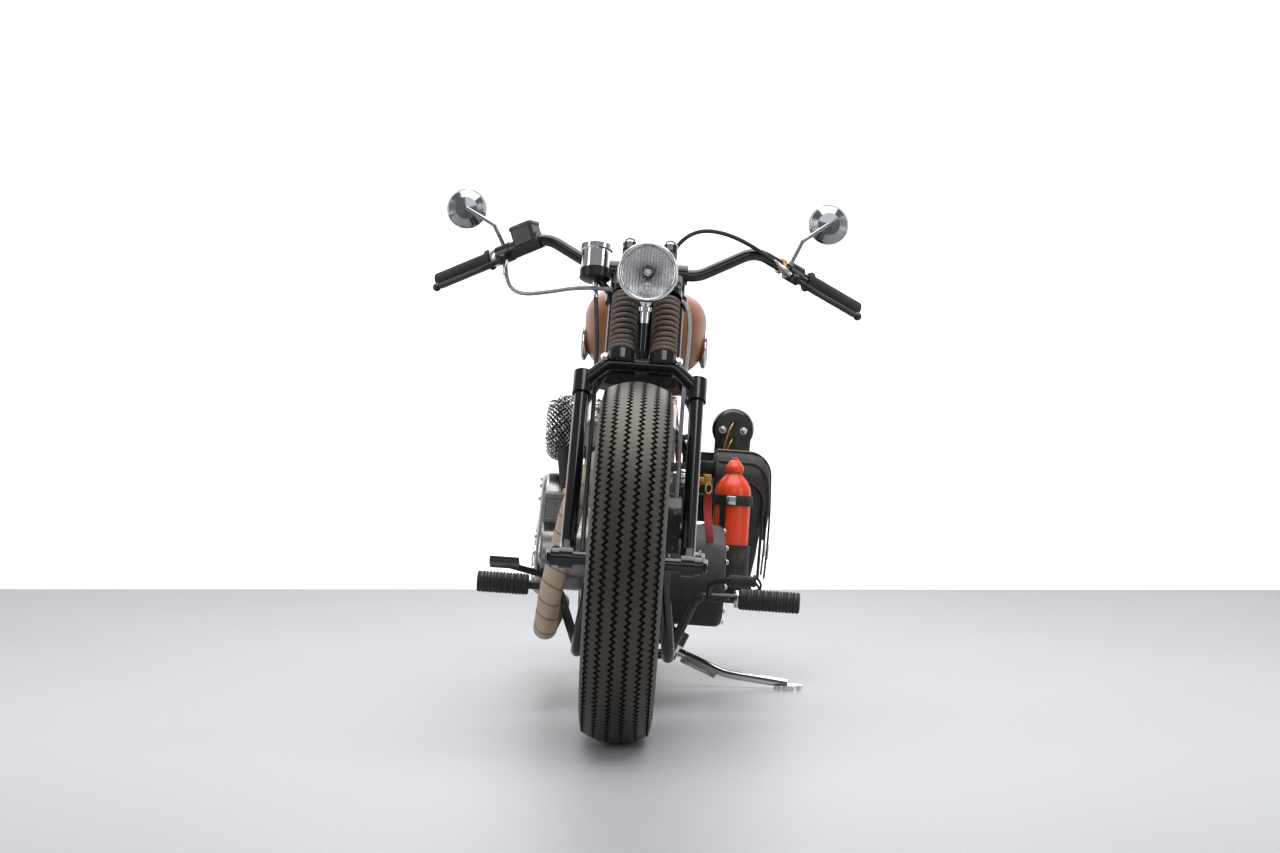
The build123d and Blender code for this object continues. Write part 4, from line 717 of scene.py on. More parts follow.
cap = [(0, 0.026), (0.024, 0.0255), (0.0295, 0.0225), (0.031, 0.018), (0.031, 0.006), (0.028, 0.004),
       (0.028, 0), (0, 0)]
CAP_AT = np.array([0.030, 0.635, 0.894])
fitted("tank_cap", cap, CAP_AT, (0, 0, 1), chrome, 48, "frame")

# Seat. A sprung solo saddle: brown leather stretched over a foam pad, sewn to a skirt round its edge
# with pale thread, on two coil springs and a pivot at its nose.
SEAT_NOSE, SEAT_LONG, SEAT_LOW, SEAT_TALL = 0.910, 0.280, 0.6955, 0.040
hide = Finish("brown saddle leather", Specular_IOR_Level=0.4, Sheen_Weight=0.08)
pores = hide.at.node("TexVoronoi", "Distance", Vector=hide.at, Scale=420.0)
creases = hide.at.noise(55, 7.0, 0.7)
worn = hide.at.noise(11, 4.0).step(0.52, 0.70)
hide.set(
    Base_Color=worn.mix(creases.mix((0.048, 0.021, 0.010), (0.110, 0.050, 0.024)), (0.150, 0.076, 0.038)),
    Roughness=0.42 + 0.25 * creases,
).bump(pores * 0.6 + creases, 0.0008)


def saddle():
    """Half width along the saddle: a narrow nose that flares smoothly into a round-backed pan. Each
    cross-section is a superellipse whose crown dips in the middle, where the rider sits."""
    v = np.linspace(0, 1, 64)[:, None]
    a = np.linspace(0, tau, 73)[None, :-1]
    widen = np.clip((v - 0.14) / 0.55, 0, 1)
    flare = 0.028 + 0.108 * widen**2 * (3 - 2 * widen)
    ends = np.sqrt(np.clip(1 - np.clip((0.09 - v) / 0.09, 0, 1) ** 2, 0, 1))
    ends = ends * np.sqrt(np.clip(1 - np.clip((v - 0.62) / 0.38, 0, 1) ** 2.6, 0, 1))
    c, s = np.cos(a), np.sin(a)
    x = flare * ends * np.sign(c) * np.abs(c) ** 0.62
    crown = SEAT_TALL * (0.80 + 0.20 * v**3 + 0.10 * (1 - v) ** 2) * (0.55 + 0.45 * ends)
    dip = 1 - 0.20 * np.exp(-((v - 0.60) / 0.22) ** 2) * (1 - np.abs(c) ** 1.5)
    z = SEAT_LOW + crown * (0.42 + np.where(s > 0, 0.58 * dip, 0.42) * np.sign(s) * np.abs(s) ** 0.55)
    return np.stack([x, SEAT_NOSE + SEAT_LONG * v + 0 * a, z], -1)


def stuffed(shape, finish, voxel, press, reach):
    """Foam under a cover: the shape is remeshed evenly, blown up as cloth, and each point is kept within
    reach of where it started."""
    form = bpy.data.objects.new(shape.name + "_form", shape.data.copy())
    scene.collection.objects.link(form)
    remesh = form.modifiers.new("even", "REMESH")
    remesh.mode, remesh.voxel_size, remesh.use_smooth_shade = "VOXEL", voxel, True
    even = bpy.data.meshes.new_from_object(form.evaluated_get(bpy.context.evaluated_depsgraph_get()))
    form.modifiers.clear()
    form.data = even
    start = np.empty(3 * len(even.vertices))
    even.vertices.foreach_get("co", start)
    cloth = form.modifiers.new("cover", "CLOTH")
    cloth.settings.use_pressure = True
    cloth.settings.uniform_pressure_force = press
    cloth.settings.effector_weights.gravity = 0
    for moment in range(1, 21):
        scene.frame_set(moment)
    blown = bpy.data.meshes.new_from_object(form.evaluated_get(bpy.context.evaluated_depsgraph_get()))
    now = np.empty_like(start)
    blown.vertices.foreach_get("co", now)
    move = (now - start).reshape(-1, 3)
    far = np.linalg.norm(move, axis=1, keepdims=True)
    start = start + (move * np.minimum(1, reach / np.maximum(far, 1e-9))).ravel()
    scene.frame_set(1)
    even.vertices.foreach_set("co", start)
    bpy.data.objects.remove(form)
    name, plain = shape.name, shape.data
    bpy.data.objects.remove(shape)
    bpy.data.meshes.remove(plain)
    even.name = name
    even.materials.clear()
    made = finished(even, finish, 60)
    smooth = made.modifiers.new("smooth", "SUBSURF")
    smooth.levels = smooth.render_levels = 1
    return made


pad = stuffed(surface("saddle_pad", leaned(saddle()), hide, (False, True)), hide, 0.005, 4.0, 0.006)
dressed(pad, "frame", "seat_pad")


def bead_along(line, radius, sides=8, closed=True, off=(0, 0, 1), capped=True):
    """A round bead carried along a line of points that never runs along the off direction. An open one
    draws in to a point at each end."""
    line = np.asarray(line, float)
    ahead = np.roll(line, -1, 0) - np.roll(line, 1, 0) if closed else np.gradient(line, axis=0)
    ahead = unit(ahead)
    first = unit(np.cross(ahead, off))
    fat = np.array(np.broadcast_to(radius, (len(line), sides)))
    if capped and not closed:
        fat[[0, -1]] = 0
    return line[:, None] + fat[..., None] * circled(first, np.cross(ahead, first), sides)


def beading(name, line, radius, finish, closed=True, off=(0, 0, 1), sides=8):
    """A round bead along a line, as a piece on the frame."""
    grid = leaned(bead_along(line, radius, sides, closed, off))
    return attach(surface(name, grid, finish, (closed, True)), "frame")


edge = saddle()[1:-1]
skirt = np.concatenate([edge[:, 0], edge[::-1, 36]]) * [1.0, 1, 0] + [0, 0, SEAT_LOW + 0.010]
skirt = (skirt - [0, 1.05, 0]) * [1.02, 1.012, 1] + [0, 1.05, 0]
beading("saddle_piping", skirt, 0.0032, hide)
thread = Finish("waxed thread", Roughness=0.7)
thread.set(Base_Color=thread.at.noise(500).mix((0.42, 0.31, 0.19), (0.62, 0.50, 0.34)))


def run_along(line):
    """Distance of each point of a line from its start, along it."""
    return np.concatenate([[0], np.cumsum(np.linalg.norm(np.diff(line, axis=0), axis=1))])


def stitches(name, line, long, thick, finish, body, off=(0, 0, 1)):
    """A row of sewn stitches: short oval beads laid end to end along a line, with a gap after each."""
    line = np.asarray(line, float)
    run = run_along(line)
    starts = np.arange(0, run[-1] - long, 1.5 * long)
    t = np.array([0, 0.15, 0.5, 0.85, 1.0])
    at = starts[:, None] + long * t
    middle = np.stack([np.interp(at, run, line[:, k]) for k in range(3)], -1)
    ahead = unit(middle[:, -1:] - middle[:, :1])
    first = unit(np.cross(ahead, off))
    ring = circled(first, np.cross(ahead, first), 6)
    fat = thick / 2 * np.sqrt(np.clip(4 * t * (1 - t), 0, 1))
    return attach(surface(name, leaned(middle[:, :, None] + fat[:, None, None] * ring), finish,
                           (False, True)), body)


stitches("saddle_stitches", skirt + [0, 0, 0.0034], 0.0050, 0.0012, thread, "frame")
SEAT_SPRING = (0.607, 0.694, 0.048, 0.007, 5.5)  # foot, head, outside diameter, wire, turns
low, high, wide, wire, turns = SEAT_SPRING
feet = [(s * 0.058, 1.060, low) for s in SIDES]
seat_coils = [coil(foot, np.array([0, 0, 1.0]), high - low, wide, wire, turns) for foot in feet]
seat_springs = surface("saddle_springs", leaned(np.stack(seat_coils)), chrome, (False, True))
dressed(seat_springs, "frame", "seat_springs")
spring_foot = [(0, -0.014), (0.020, -0.014), (0.024, -0.010), (0.024, 0.002), (0.0185, 0.003), (0.0165, 0),
               (0, 0)]
fitted("saddle_spring_feet", spring_foot, feet, (0, 0, 1), enamel, 28, "frame")
pivot = [(0, -0.019), (0.011, -0.019), (0.012, -0.017), (0.012, 0.017), (0.011, 0.019), (0, 0.019)]
fitted("saddle_pivot", pivot, (0, 0.945, 0.680), (1, 0, 0), chrome, 24, "frame")

# Engine. An air-cooled V-twin: sand-cast cases, finned iron barrels painted heat black, alloy heads and
# bright rocker boxes, with a polished cam cover on the right and a black primary cover on the left.
cast = Finish("sand-cast alloy", Specular_IOR_Level=0.45)
sand = cast.at.noise(260, 4.0, 0.6)
stain = cast.at.noise(12, 6.0, 0.62).step(0.45, 0.75)
cast.set(
    Base_Color=stain.mix((0.27, 0.265, 0.255), (0.11, 0.098, 0.085)),
    Metallic=0.85 - 0.35 * stain,
    Roughness=0.36 + 0.22 * sand + 0.15 * stain,
).bump(sand, 0.0006)
heat_black = Finish("heat black paint", Specular_IOR_Level=0.4)
heat_black.vary((30, 6.0, 0.65), (0.014, 0.014, 0.014), (0.070, 0.066, 0.060), 0.48, 0.3)
heat_black.bump(heat_black.at.noise(380, 3.0), 0.0005)
polished = Finish("polished alloy", Metallic=1.0)
bruise = polished.at.noise(22, 6.0, 0.65)
hairline = polished.at.noise(700, 2.0)
polished.set(
    Base_Color=bruise.mix((0.52, 0.51, 0.50), (0.30, 0.29, 0.28)),
    Roughness=0.14 + 0.2 * bruise + 0.05 * hairline
).bump(bruise, 0.0008)
paint(cast, "crankcase", "cylinder_heads")
paint(heat_black, "cylinders", "primary_cover")
paint(polished, "rocker_boxes", "cam_cover")


def round_outline(circles, inset):
    """Points just inside the outline of circles (y, z, radius), one at each of the circle's angles."""
    return [(y + (r - inset) * cos(radians(a)), z + (r - inset) * sin(radians(a)))
            for y, z, r, angles in circles for a in angles]


cam_edge = round_outline(
    ((0.648, 0.318, 0.080, (145, 180, 215, 255, 285)), (0.786, 0.318, 0.080, (255, 290, 330, 5, 40)),
     (0.716, 0.412, 0.084, (40, 70, 100, 130, 160))), 0.018)
bolts("cam_cover_screws", [(-0.205, y, z) for y, z in cam_edge], (-1, 0, 0), 0.010, 0.005, chrome, "frame")
primary_edge = round_outline(
    ((0.700, 0.270, 0.094, (100, 140, 180, 220, 260)), (0.903, 0.285, 0.108, (265, 300, 335, 10, 45, 80))),
    0.011)
bolts("primary_screws", [(0.212, y, z) for y, z in primary_edge], (1, 0, 0), 0.010, 0.005, chrome, "frame")
clutch_lid = [(0, 0.007), (0.020, 0.0068), (0.052, 0.0045), (0.062, 0.0010), (0.064, -0.002), (0, -0.002)]
fitted("clutch_inspection_lid", clutch_lid, (0.212, 0.903, 0.285), (1, 0, 0), chrome, 56, "frame")
lid_screws = round_outline(((0.903, 0.285, 0.064, (90, 210, 330)),), 0.010)
bolts("clutch_lid_screws", [(0.2170, y, z) for y, z in lid_screws], (1, 0, 0), 0.008, 0.004, enamel,
      "frame")
points_lid = [(0, 0.0065), (0.026, 0.0060), (0.034, 0.0040), (0.036, 0.0010), (0.036, -0.002), (0, -0.002)]
fitted("points_lid", points_lid, (-0.205, 0.655, 0.318), (-1, 0, 0), chrome, 48, "frame")
CRANK, V_HALF = np.array([0, 0.700, 0.270]), radians(22.5)
barrel_up = {s: np.array([0, -s * sin(V_HALF), cos(V_HALF)]) for s in SIDES}
barrel_back = {s: np.array([0, s * cos(V_HALF), sin(V_HALF)]) for s in SIDES}
box_bolts = [CRANK + 0.398 * barrel_up[s] + b * barrel_back[s] + [x, 0, 0]
             for s in SIDES for x in (-0.092, -0.016, 0.060) for b in (-0.036, 0.036)]
box_ways = [barrel_up[s] for s in SIDES for _ in range(6)]
bolts("rocker_box_bolts", box_bolts, box_ways, 0.014, 0.008, chrome, "frame")
tube_feet = [CRANK + 0.150 * barrel_up[s] + b * barrel_back[s] + [-0.099, 0, 0] for s in SIDES
             for b in (-0.022, 0.022)]
cuff = [(0.009, 0), (0.0125, 0.001), (0.0130, 0.014), (0.0105, 0.018), (0.0105, 0.030), (0.0090, 0.031),
        (0.009, 0)]
tube_ways = [barrel_up[s] for s in SIDES for _ in range(2)]
fitted("pushrod_cuffs", cuff, tube_feet, tube_ways, chrome, 20, "frame")
plug_at = [CRANK + 0.305 * barrel_up[s] - 0.080 * barrel_back[s] * s + [0.070, 0, 0] for s in SIDES]
plug = [(0, 0.046), (0.005, 0.045), (0.0065, 0.040), (0.0065, 0.020), (0.0095, 0.018), (0.0095, 0.006),
        (0.007, 0.004), (0.007, -0.006), (0, -0.006)]
fitted("spark_plug_caps", plug, plug_at, (1, 0, 0.25), grip_rubber, 18, "frame")

# Carburettor and air filter. A cast body between the barrels feeds through a deep domed filter whose
# plated wire mesh is woven over a backplate.
paint(cast, "carburettor")
MESH_AT, MESH_OUT = np.array([-0.142, 0.700, 0.593]), np.array([-1.0, 0, 0])
WIRES_ROUND, WIRES_UP, WIRE_R = 40, 16, 0.0013


def filter_skin(climb):
    """Radius and height of the filter's domed pot at a share of the way up its side and over its top."""
    bend = np.clip((climb - 0.42) / 0.58, 0, 1) * pi / 2
    straight = np.clip(climb / 0.42, 0, 1) * 0.030
    radius = 0.0405 + 0.0315 * np.cos(bend) - 0.0405 * np.clip((climb - 0.80) / 0.20, 0, 1) ** 2 * 0.9
    height = straight + 0.0325 * np.sin(bend)
    return radius, height


def woven(round_turn, climb, sign, over):
    """A mesh wire over the pot, waving outwards and inwards by turns as it crosses the other wires."""
    radius, height = filter_skin(climb)
    wave = sign * WIRE_R * 0.8 * over
    radius = radius + wave
    return MESH_AT + np.stack([-height - 0.3 * wave, radius * np.cos(round_turn),
                               radius * np.sin(round_turn)], -1)


filter_grids = []
for family in (1, -1):
    climb = np.linspace(0, 0.97, 3 * WIRES_UP + 1)
    first_turn = tau * np.arange(WIRES_ROUND) / WIRES_ROUND
    lines = woven(first_turn[:, None] + family * 1.25 * climb, climb + 0 * first_turn[:, None], family,
                  np.cos(pi * WIRES_UP * climb + pi * np.arange(WIRES_ROUND)[:, None]))
    ahead = unit(np.gradient(lines, axis=1))
    side = unit(np.cross(ahead, lines - MESH_AT))
    filter_grids.append(lines[:, :, None] + WIRE_R * circled(side, np.cross(ahead, side), 4))
mesh_wires = surface("filter_mesh", leaned(np.concatenate(filter_grids)), chrome, (False, True), sharp=80)
dressed(mesh_wires, "frame", "air_filter")
gauze = Finish("oiled gauze", Roughness=0.8)
pleat = gauze.at.noise(300, 3.0)
gauze.set(Base_Color=pleat.mix((0.004, 0.004, 0.004), (0.02, 0.018, 0.016))).bump(pleat, 0.001)
climb = np.linspace(0, 1, 24)
core = np.stack(filter_skin(climb), -1) * [0.965, 0.96] - [0.0004, 0]
core = np.concatenate([[(0, 0)], core, [(0, core[-1, 1])]])
fitted("filter_core", core, MESH_AT, MESH_OUT, gauze, 56, "frame")
back = [(0, -0.006), (0.066, -0.006), (0.073, -0.003), (0.0735, 0.002), (0.070, 0.004), (0, 0.004)]
fitted("filter_backplate", back, MESH_AT, MESH_OUT, chrome, 64, "frame")
cap_ring = [(0, 0.0645), (0.006, 0.0645), (0.011, 0.0635), (0.0125, 0.0610), (0, 0.0600)]
fitted("filter_cap", cap_ring, MESH_AT, MESH_OUT, chrome, 32, "frame")

# Breather box. A small dark cast box with a framed panel stands before the cam cover, and a black boot
# leads from its brass fitting up to the filter.


def blocks(name, boxes, finish, body, soft=0.002):
    """Boxes given by their low and high corners, edges rounded."""
    work = bmesh.new()
    for low, high in boxes:
        for v in bmesh.ops.create_cube(work, size=1.0)["verts"]:
            v.co = leaned(np.asarray(low) + (np.array(v.co) + 0.5) * (np.asarray(high) - np.asarray(low)))
    bmesh.ops.bevel(work, geom=work.edges[:], offset=soft, segments=3, affect="EDGES", profile=0.5)
    mesh = bpy.data.meshes.new(name)
    work.to_mesh(mesh)
    work.free()
    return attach(finished(mesh, finish, 50), body)


def evenly(line, step, even=1):
    """A line's points moved to equal steps along it, and their distances from its start."""
    run = run_along(line)
    at = np.linspace(0, run[-1], even * round(run[-1] / step / even) + 1)
    return np.stack([np.interp(at, run, part) for part in line.T], -1), at


blocks("breather_box", [((-0.196, 0.572, 0.386), (-0.138, 0.650, 0.452))], cast, "frame", 0.006)
panel = np.array([(-0.190, 0.394), (-0.190, 0.440), (-0.144, 0.440), (-0.144, 0.394)])
panel = evenly(np.concatenate([panel, panel[:1]]), 0.0046)[0][:-1]
beading("breather_frame", np.insert(panel, 1, 0.5722, axis=1), 0.0022, cast, True, (0, 1, 0))
BOOT_AT, BOOT_UP = np.array([-0.147, 0.606, 0.449]), np.array([-0.014, 0.040, 0.096])
fitting = [(0, 0), (0.0095, 0), (0.0095, 0.006), (0.0075, 0.008), (0.0075, 0.016), (0, 0.016)]
fitted("breather_fitting", fitting, BOOT_AT, BOOT_UP, brass, 6, "frame")
boot = [(0, 0.012), (0.0100, 0.012), (0.0112, 0.015), (0.0100, 0.019), (0.0118, 0.023), (0.0106, 0.027),
        (0.0125, 0.034), (0.0140, 0.060), (0.0148, 0.092), (0.0135, 0.106), (0, 0.106)]
fitted("breather_boot", boot, BOOT_AT, BOOT_UP, grip_rubber, 28, "frame")

# Exhaust. Two plain pipes on the right, the front one low and the rear one above it, each wound from end
# to end like a bandage with tan woven heat wrap and closed by steel clamps.
PIPE_R, WRAP_PITCH, WRAP_LIP = 0.0236, 0.036, 0.0014
wrap = Finish("tan heat wrap", Specular_IOR_Level=0.2)
along, about = wrap.uv.part("x"), wrap.uv.part("y")
turn_share = (along * (1 / WRAP_PITCH) + about * (1 / (tau * PIPE_R))) % 1.0
warp = (along * 2400).sine() * (about * 2400).sine()
soil = wrap.at.noise(70, 8.0, 0.78)
# Painted shade: where each turn laps over the next, the colour runs darker along the seam.
clear_of_seam_shade = turn_share.step(0.0, 0.12) * (1 - turn_share.step(0.90, 1.0))
cloth_tan = soil.mix((0.92, 0.77, 0.61), (0.66, 0.50, 0.37))
wrap.set(
    Base_Color=(clear_of_seam_shade * (0.8 + 0.2 * warp)).mix((0.36, 0.27, 0.195), cloth_tan), Roughness=0.82 + 0.1 * soil
).bump(warp * 0.5 + wrap.at.noise(300, 3.0), 0.0009)


def bent(corners, radii, step):
    """Even points along straight runs joined by arcs, each arc touching both runs of its corner."""
    corners = np.asarray(corners, float)
    line = [corners[:1]]
    for before, corner, after, radius in zip(corners, corners[1:], corners[2:], radii):
        u, v = unit(before - corner), unit(after - corner)
        turn = np.arccos(np.clip(-u @ v, -1, 1))
        centre = corner + unit(u + v) * radius / np.cos(turn / 2)
        arms = corner + np.stack([u, v]) * radius * np.tan(turn / 2) - centre
        t = np.linspace(0, 1, 16)[:, None]
        swing = np.sin((1 - t) * turn) * arms[0] + np.sin(t * turn) * arms[1]
        line.append(centre + swing / np.sin(turn))
    return evenly(np.concatenate([*line, corners[-1:]]), step)


# Pipes: name, corners from the port to the tip, and bend radii
PIPES = (
    ("front", [(-0.030, 0.5297, 0.5242), (-0.062, 0.488, 0.556), (-0.126, 0.448, 0.430),
               (-0.160, 0.470, 0.250), (-0.170, 0.520, 0.160), (-0.170, 1.240, 0.166)],
               (0.045, 0.060, 0.090, 0.060)),
    ("rear", [(-0.050, 0.8702, 0.5242), (-0.092, 0.906, 0.506), (-0.190, 0.908, 0.430),
              (-0.205, 0.912, 0.290), (-0.205, 0.985, 0.222), (-0.205, 1.330, 0.228)],
              (0.026, 0.070, 0.090, 0.060)),
)
stainless = Finish("stainless steel", Metallic=1.0)
stainless.vary((40, 5.0), (0.50, 0.49, 0.47), (0.30, 0.27, 0.23), 0.22, 0.2)
# The bore's walls are sooty, and its closed end 60 mm in is painted near black as shade for the rest of
# the pipe.
bore_soot_and_shade = Finish("sooty bore", Roughness=0.9)
bore_soot_and_shade.set(Base_Color=bore_soot_and_shade.at.noise(90).mix((0.008, 0.007, 0.006), (0.03, 0.027, 0.024)))
lip = [(0.0222, -0.002), (0.0222, -0.030), (0.0235, -0.030), (0.0235, -0.014), (0.0249, -0.012),
       (0.0249, 0), (0.0226, 0.0004), (0.0222, -0.002)]
bore = [(0, -0.060), (0.0215, -0.060), (0.0221, -0.001), (0.0224, -0.001), (0.0218, -0.062), (0, -0.062)]
clamp = [(0.0236, -0.006), (0.0256, -0.006), (0.0258, 0), (0.0256, 0.006), (0.0236, 0.006),
         (0.0236, -0.006)]
wrapped, tips, clamps = [], [], []
for name, corners, radii in PIPES:
    line, run = bent(corners, radii, 0.0024)
    sides = 40
    overlap = (run[:, None] / WRAP_PITCH + np.arange(sides) / sides) % 1.0
    swell = PIPE_R + WRAP_LIP * np.clip(overlap / 0.06, 0, 1) * (1 - 0.55 * overlap)
    swell[run > run[-1] - 0.010] = PIPE_R - 0.0006
    pipe_uv = np.stack(np.broadcast_arrays(run[:, None], np.arange(sides + 1) * tau * PIPE_R / sides), -1)
    grid = bead_along(line, swell, sides, False, (1, 0, 0), False)
    wrapped.append(surface(f"{name}_pipe_wrap", leaned(grid), wrap, (False, True), pipe_uv, 60))
    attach(wrapped[-1], "frame")
    tips.append((line[-1], unit(line[-1] - line[-2])))
    clamped = (16, int(0.42 * len(line)), len(line) - 12)
    clamps += [(line[k], unit(line[k + 1] - line[k])) for k in clamped]
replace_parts(wrapped[0], "exhaust_pipes")
tip_at, tip_way = zip(*tips)
fitted("pipe_lips", lip, tip_at, tip_way, stainless, 40, "frame")
fitted("pipe_bores", bore, tip_at, tip_way, bore_soot_and_shade, 40, "frame")
clamp_at, clamp_way = zip(*clamps)
fitted("pipe_clamps", clamp, clamp_at, clamp_way, stainless, 40, "frame")

# Chain. A roller chain from the gearbox to the rear sprocket on the right, oily dark steel, its side
# plates alternately inside and outside of their neighbours.
oiled = Finish("oiled chain steel", Metallic=0.85)
oiled.vary((120, 5.0), (0.10, 0.092, 0.085), (0.024, 0.020, 0.017), 0.28, 0.35)
paint(oiled, "drive_chain")
CHAIN_X, CHAIN_PITCH, PLATE_R = -0.084, 0.0159, 0.0066
DRIVE_WHEEL, DRIVEN_WHEEL = (0.925, 0.285, 0.058), (WHEELBASE, TYRE_R, 0.124)  # y, z, pitch radius


def chain_line(pitch):
    """Even points round two sprockets: an arc on each, joined by their outer tangents."""
    (y1, z1, r1), (y2, z2, r2) = DRIVE_WHEEL, DRIVEN_WHEEL
    axis = np.arctan2(z2 - z1, y2 - y1)
    open_turn = np.arccos((r1 - r2) / np.hypot(y2 - y1, z2 - z1))
    small = axis + open_turn + np.linspace(0, tau - 2 * open_turn, 40)
    large = axis - open_turn + np.linspace(0, 2 * open_turn, 80)
    loop = np.concatenate([
        np.stack([y1 + r1 * np.cos(small), z1 + r1 * np.sin(small)], -1),
        np.stack([y2 + r2 * np.cos(large), z2 + r2 * np.sin(large)], -1),
    ])
    return evenly(np.concatenate([loop, loop[:1]]), pitch, 2)[0][:-1]


pins = chain_line(CHAIN_PITCH)
middles, steps = (pins + np.roll(pins, -1, 0)) / 2, np.roll(pins, -1, 0) - pins
stadium = tau * np.arange(14) / 14
plate_u = PLATE_R * np.cos(stadium) + np.sign(np.cos(stadium)) * CHAIN_PITCH / 2
plate_v = PLATE_R * np.sin(stadium) * (1 - 0.16 * (np.abs(np.cos(stadium)) < 0.3))
shares, depths = np.array([0, 0.94, 1, 1, 0])[:, None], np.array([0, 0, 0.0003, 0.0013, 0.0013])[:, None]
aim = unit(steps)
square = np.stack([-aim[:, 1], aim[:, 0]], -1)
outline = (plate_u[None, None, :, None] * aim[:, None, None]
           + plate_v[None, None, :, None] * square[:, None, None])
flat = middles[:, None, None] + shares[None, ..., None] * outline
outer = np.where(np.arange(len(pins)) % 2, 0.0092, 0.0081)[:, None, None]
plates = [np.stack([CHAIN_X + s * (outer - depths[None] + 0 * plate_u), flat[..., 0], flat[..., 1]], -1)
          for s in SIDES]
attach(surface("chain_plates", leaned(np.concatenate(plates)), oiled, (False, True)), "frame")
rivet = [(0, 0.0014), (0.0022, 0.0012), (0.0029, 0.0003), (0.0029, -0.001), (0, -0.001)]
rivet_at = [np.insert(pins, 0, CHAIN_X + s * 0.0088, axis=1) for s in SIDES]
rivet_way = np.repeat([[1.0, 0, 0], [-1, 0, 0]], len(pins), axis=0)
fitted("chain_rivets", rivet, np.concatenate(rivet_at), rivet_way, stainless, 8, "frame")

# Oil tank, rear guard and brakes. The tank hangs under the seat, a rolled steel guard follows the rear
# tyre on round struts, and cast calipers grip the discs.
paint(enamel, "oil_tank")
paint(copper, "rear_guard")
paint(lever_black, "front_caliper", "rear_caliper")
LIP_R, LIP_X = 0.3295, 0.0855
hoop = np.linspace(radians(38), radians(156), 90)
for s, side in zip(SIDES, ("left", "right")):
    lip_line = round_axle(s * LIP_X, LIP_R, hoop, WHEELBASE)
    beading(f"guard_lip_{side}", lip_line, 0.0030, copper, False, (1, 0, 0))

# Saddle bag. A soft black leather bag hung on the left rear stay: a sagging shell under an arched flap
# with two buckled straps, laces at its foot, and at its front a leather cup and band for a bottle.
BAG_IN, BAG_OUT, BAG_FRONT, BAG_REAR, BAG_LOW, BAG_TOP = 0.186, 0.314, 1.112, 1.397, 0.222, 0.562
BAG_MID, BAG_HALF, SHOULDER = (BAG_FRONT + BAG_REAR) / 2, (BAG_REAR - BAG_FRONT) / 2, 0.070
bag_hide = Finish("black bag leather", Specular_IOR_Level=0.4)
bag_grain = bag_hide.at.node("TexVoronoi", "Distance", Vector=bag_hide.at, Scale=380.0)
bag_crease = bag_hide.at.noise(34, 7.0, 0.7)
bag_worn = bag_hide.at.noise(13, 4.0).step(0.54, 0.72)
bag_hide.set(
    Base_Color=bag_worn.mix(bag_crease.mix((0.010, 0.009, 0.008), (0.030, 0.026, 0.023)),
                            (0.062, 0.050, 0.041)),
    Roughness=0.40 + 0.28 * bag_crease,
).bump(bag_grain * 0.5 + bag_crease, 0.0014)


def bag_side():
    """Points round the bag's side view, a box with small foot corners and wide shoulders."""
    foot = 0.024
    turn = np.linspace(0, tau, 64, endpoint=False).reshape(4, 16)
    turn = turn + np.linspace(0, pi / 30, 16)
    corner = np.array([(BAG_REAR, BAG_TOP), (BAG_FRONT, BAG_TOP), (BAG_FRONT, BAG_LOW),
                       (BAG_REAR, BAG_LOW)])
    radius = np.array([SHOULDER, SHOULDER, foot, foot])[:, None]
    inward = np.array([(-1, -1), (1, -1), (1, 1), (-1, 1)]) * radius
    y = (corner + inward)[:, :1] + radius * np.cos(turn)
    z = (corner + inward)[:, 1:] + radius * np.sin(turn)
    loop = np.stack([y.ravel(), z.ravel()], -1)
    return evenly(np.concatenate([loop, loop[:1]]), 0.007)[0][:-1]


def bag_shell():
    """The side view swept across the bag: each row (across, inset) moves in by its inset, more at the
    top, the bag narrows towards its foot, which sags as a half sine, and the outer face swells."""
    side = bag_side()
    away = np.roll(side, -1, 0) - np.roll(side, 1, 0)
    away = unit(np.stack([away[:, 1], -away[:, 0]], -1))
    turn = np.linspace(0, pi / 2, 8)
    rows = [(0, 0.030), (0, 0.008), (0.003, 0.002), (0.010, 0), (0.040, -0.003), (0.075, -0.003)]
    rows += list(zip(0.106 + 0.022 * np.sin(turn), 0.022 * (1 - np.cos(turn))))
    across, inset = np.array(rows).T
    top = 1 + 1.2 * np.clip((side[:, 1] - 0.44) / 0.09, 0, 1)
    rim = side[None] - away[None] * (inset[:, None] * np.where(inset[:, None] > 0, top, 1))[..., None]
    share = np.array([0.8, 0.55, 0.28, 0.0])
    middle = np.array([BAG_MID, (BAG_LOW + BAG_TOP) / 2])
    face = middle + share[:, None, None] * (rim[-1] - middle)
    flat = np.concatenate([np.broadcast_to(middle, rim[:1].shape), rim, face])
    x = np.concatenate([[0.002], across, 0.128 + 0.008 * (1 - share**2)])
    x = x[:, None] + BAG_IN + 0 * flat[..., 0]
    long = np.clip((flat[..., 0] - BAG_FRONT) / (BAG_REAR - BAG_FRONT), 0, 1)
    low = np.clip((0.30 - flat[..., 1]) / 0.08, 0, 1)
    ripple = 0.0022 * np.sin(41 * flat[..., 0] + 17 * flat[..., 1]) * np.sin(33 * flat[..., 1] + 2.0)
    x = x + np.where(x > BAG_IN + 0.09, ripple, 0)
    x = BAG_IN + (x - BAG_IN) * (1 - 0.22 * np.clip((0.46 - flat[..., 1]) / 0.24, 0, 1))
    return np.stack([x, flat[..., 0], flat[..., 1] - 0.007 * low * np.sin(pi * long)], -1)


shell = surface("bag_shell", leaned(bag_shell()), bag_hide, (False, True), sharp=60)
dressed(shell, "frame", "saddle_bag")


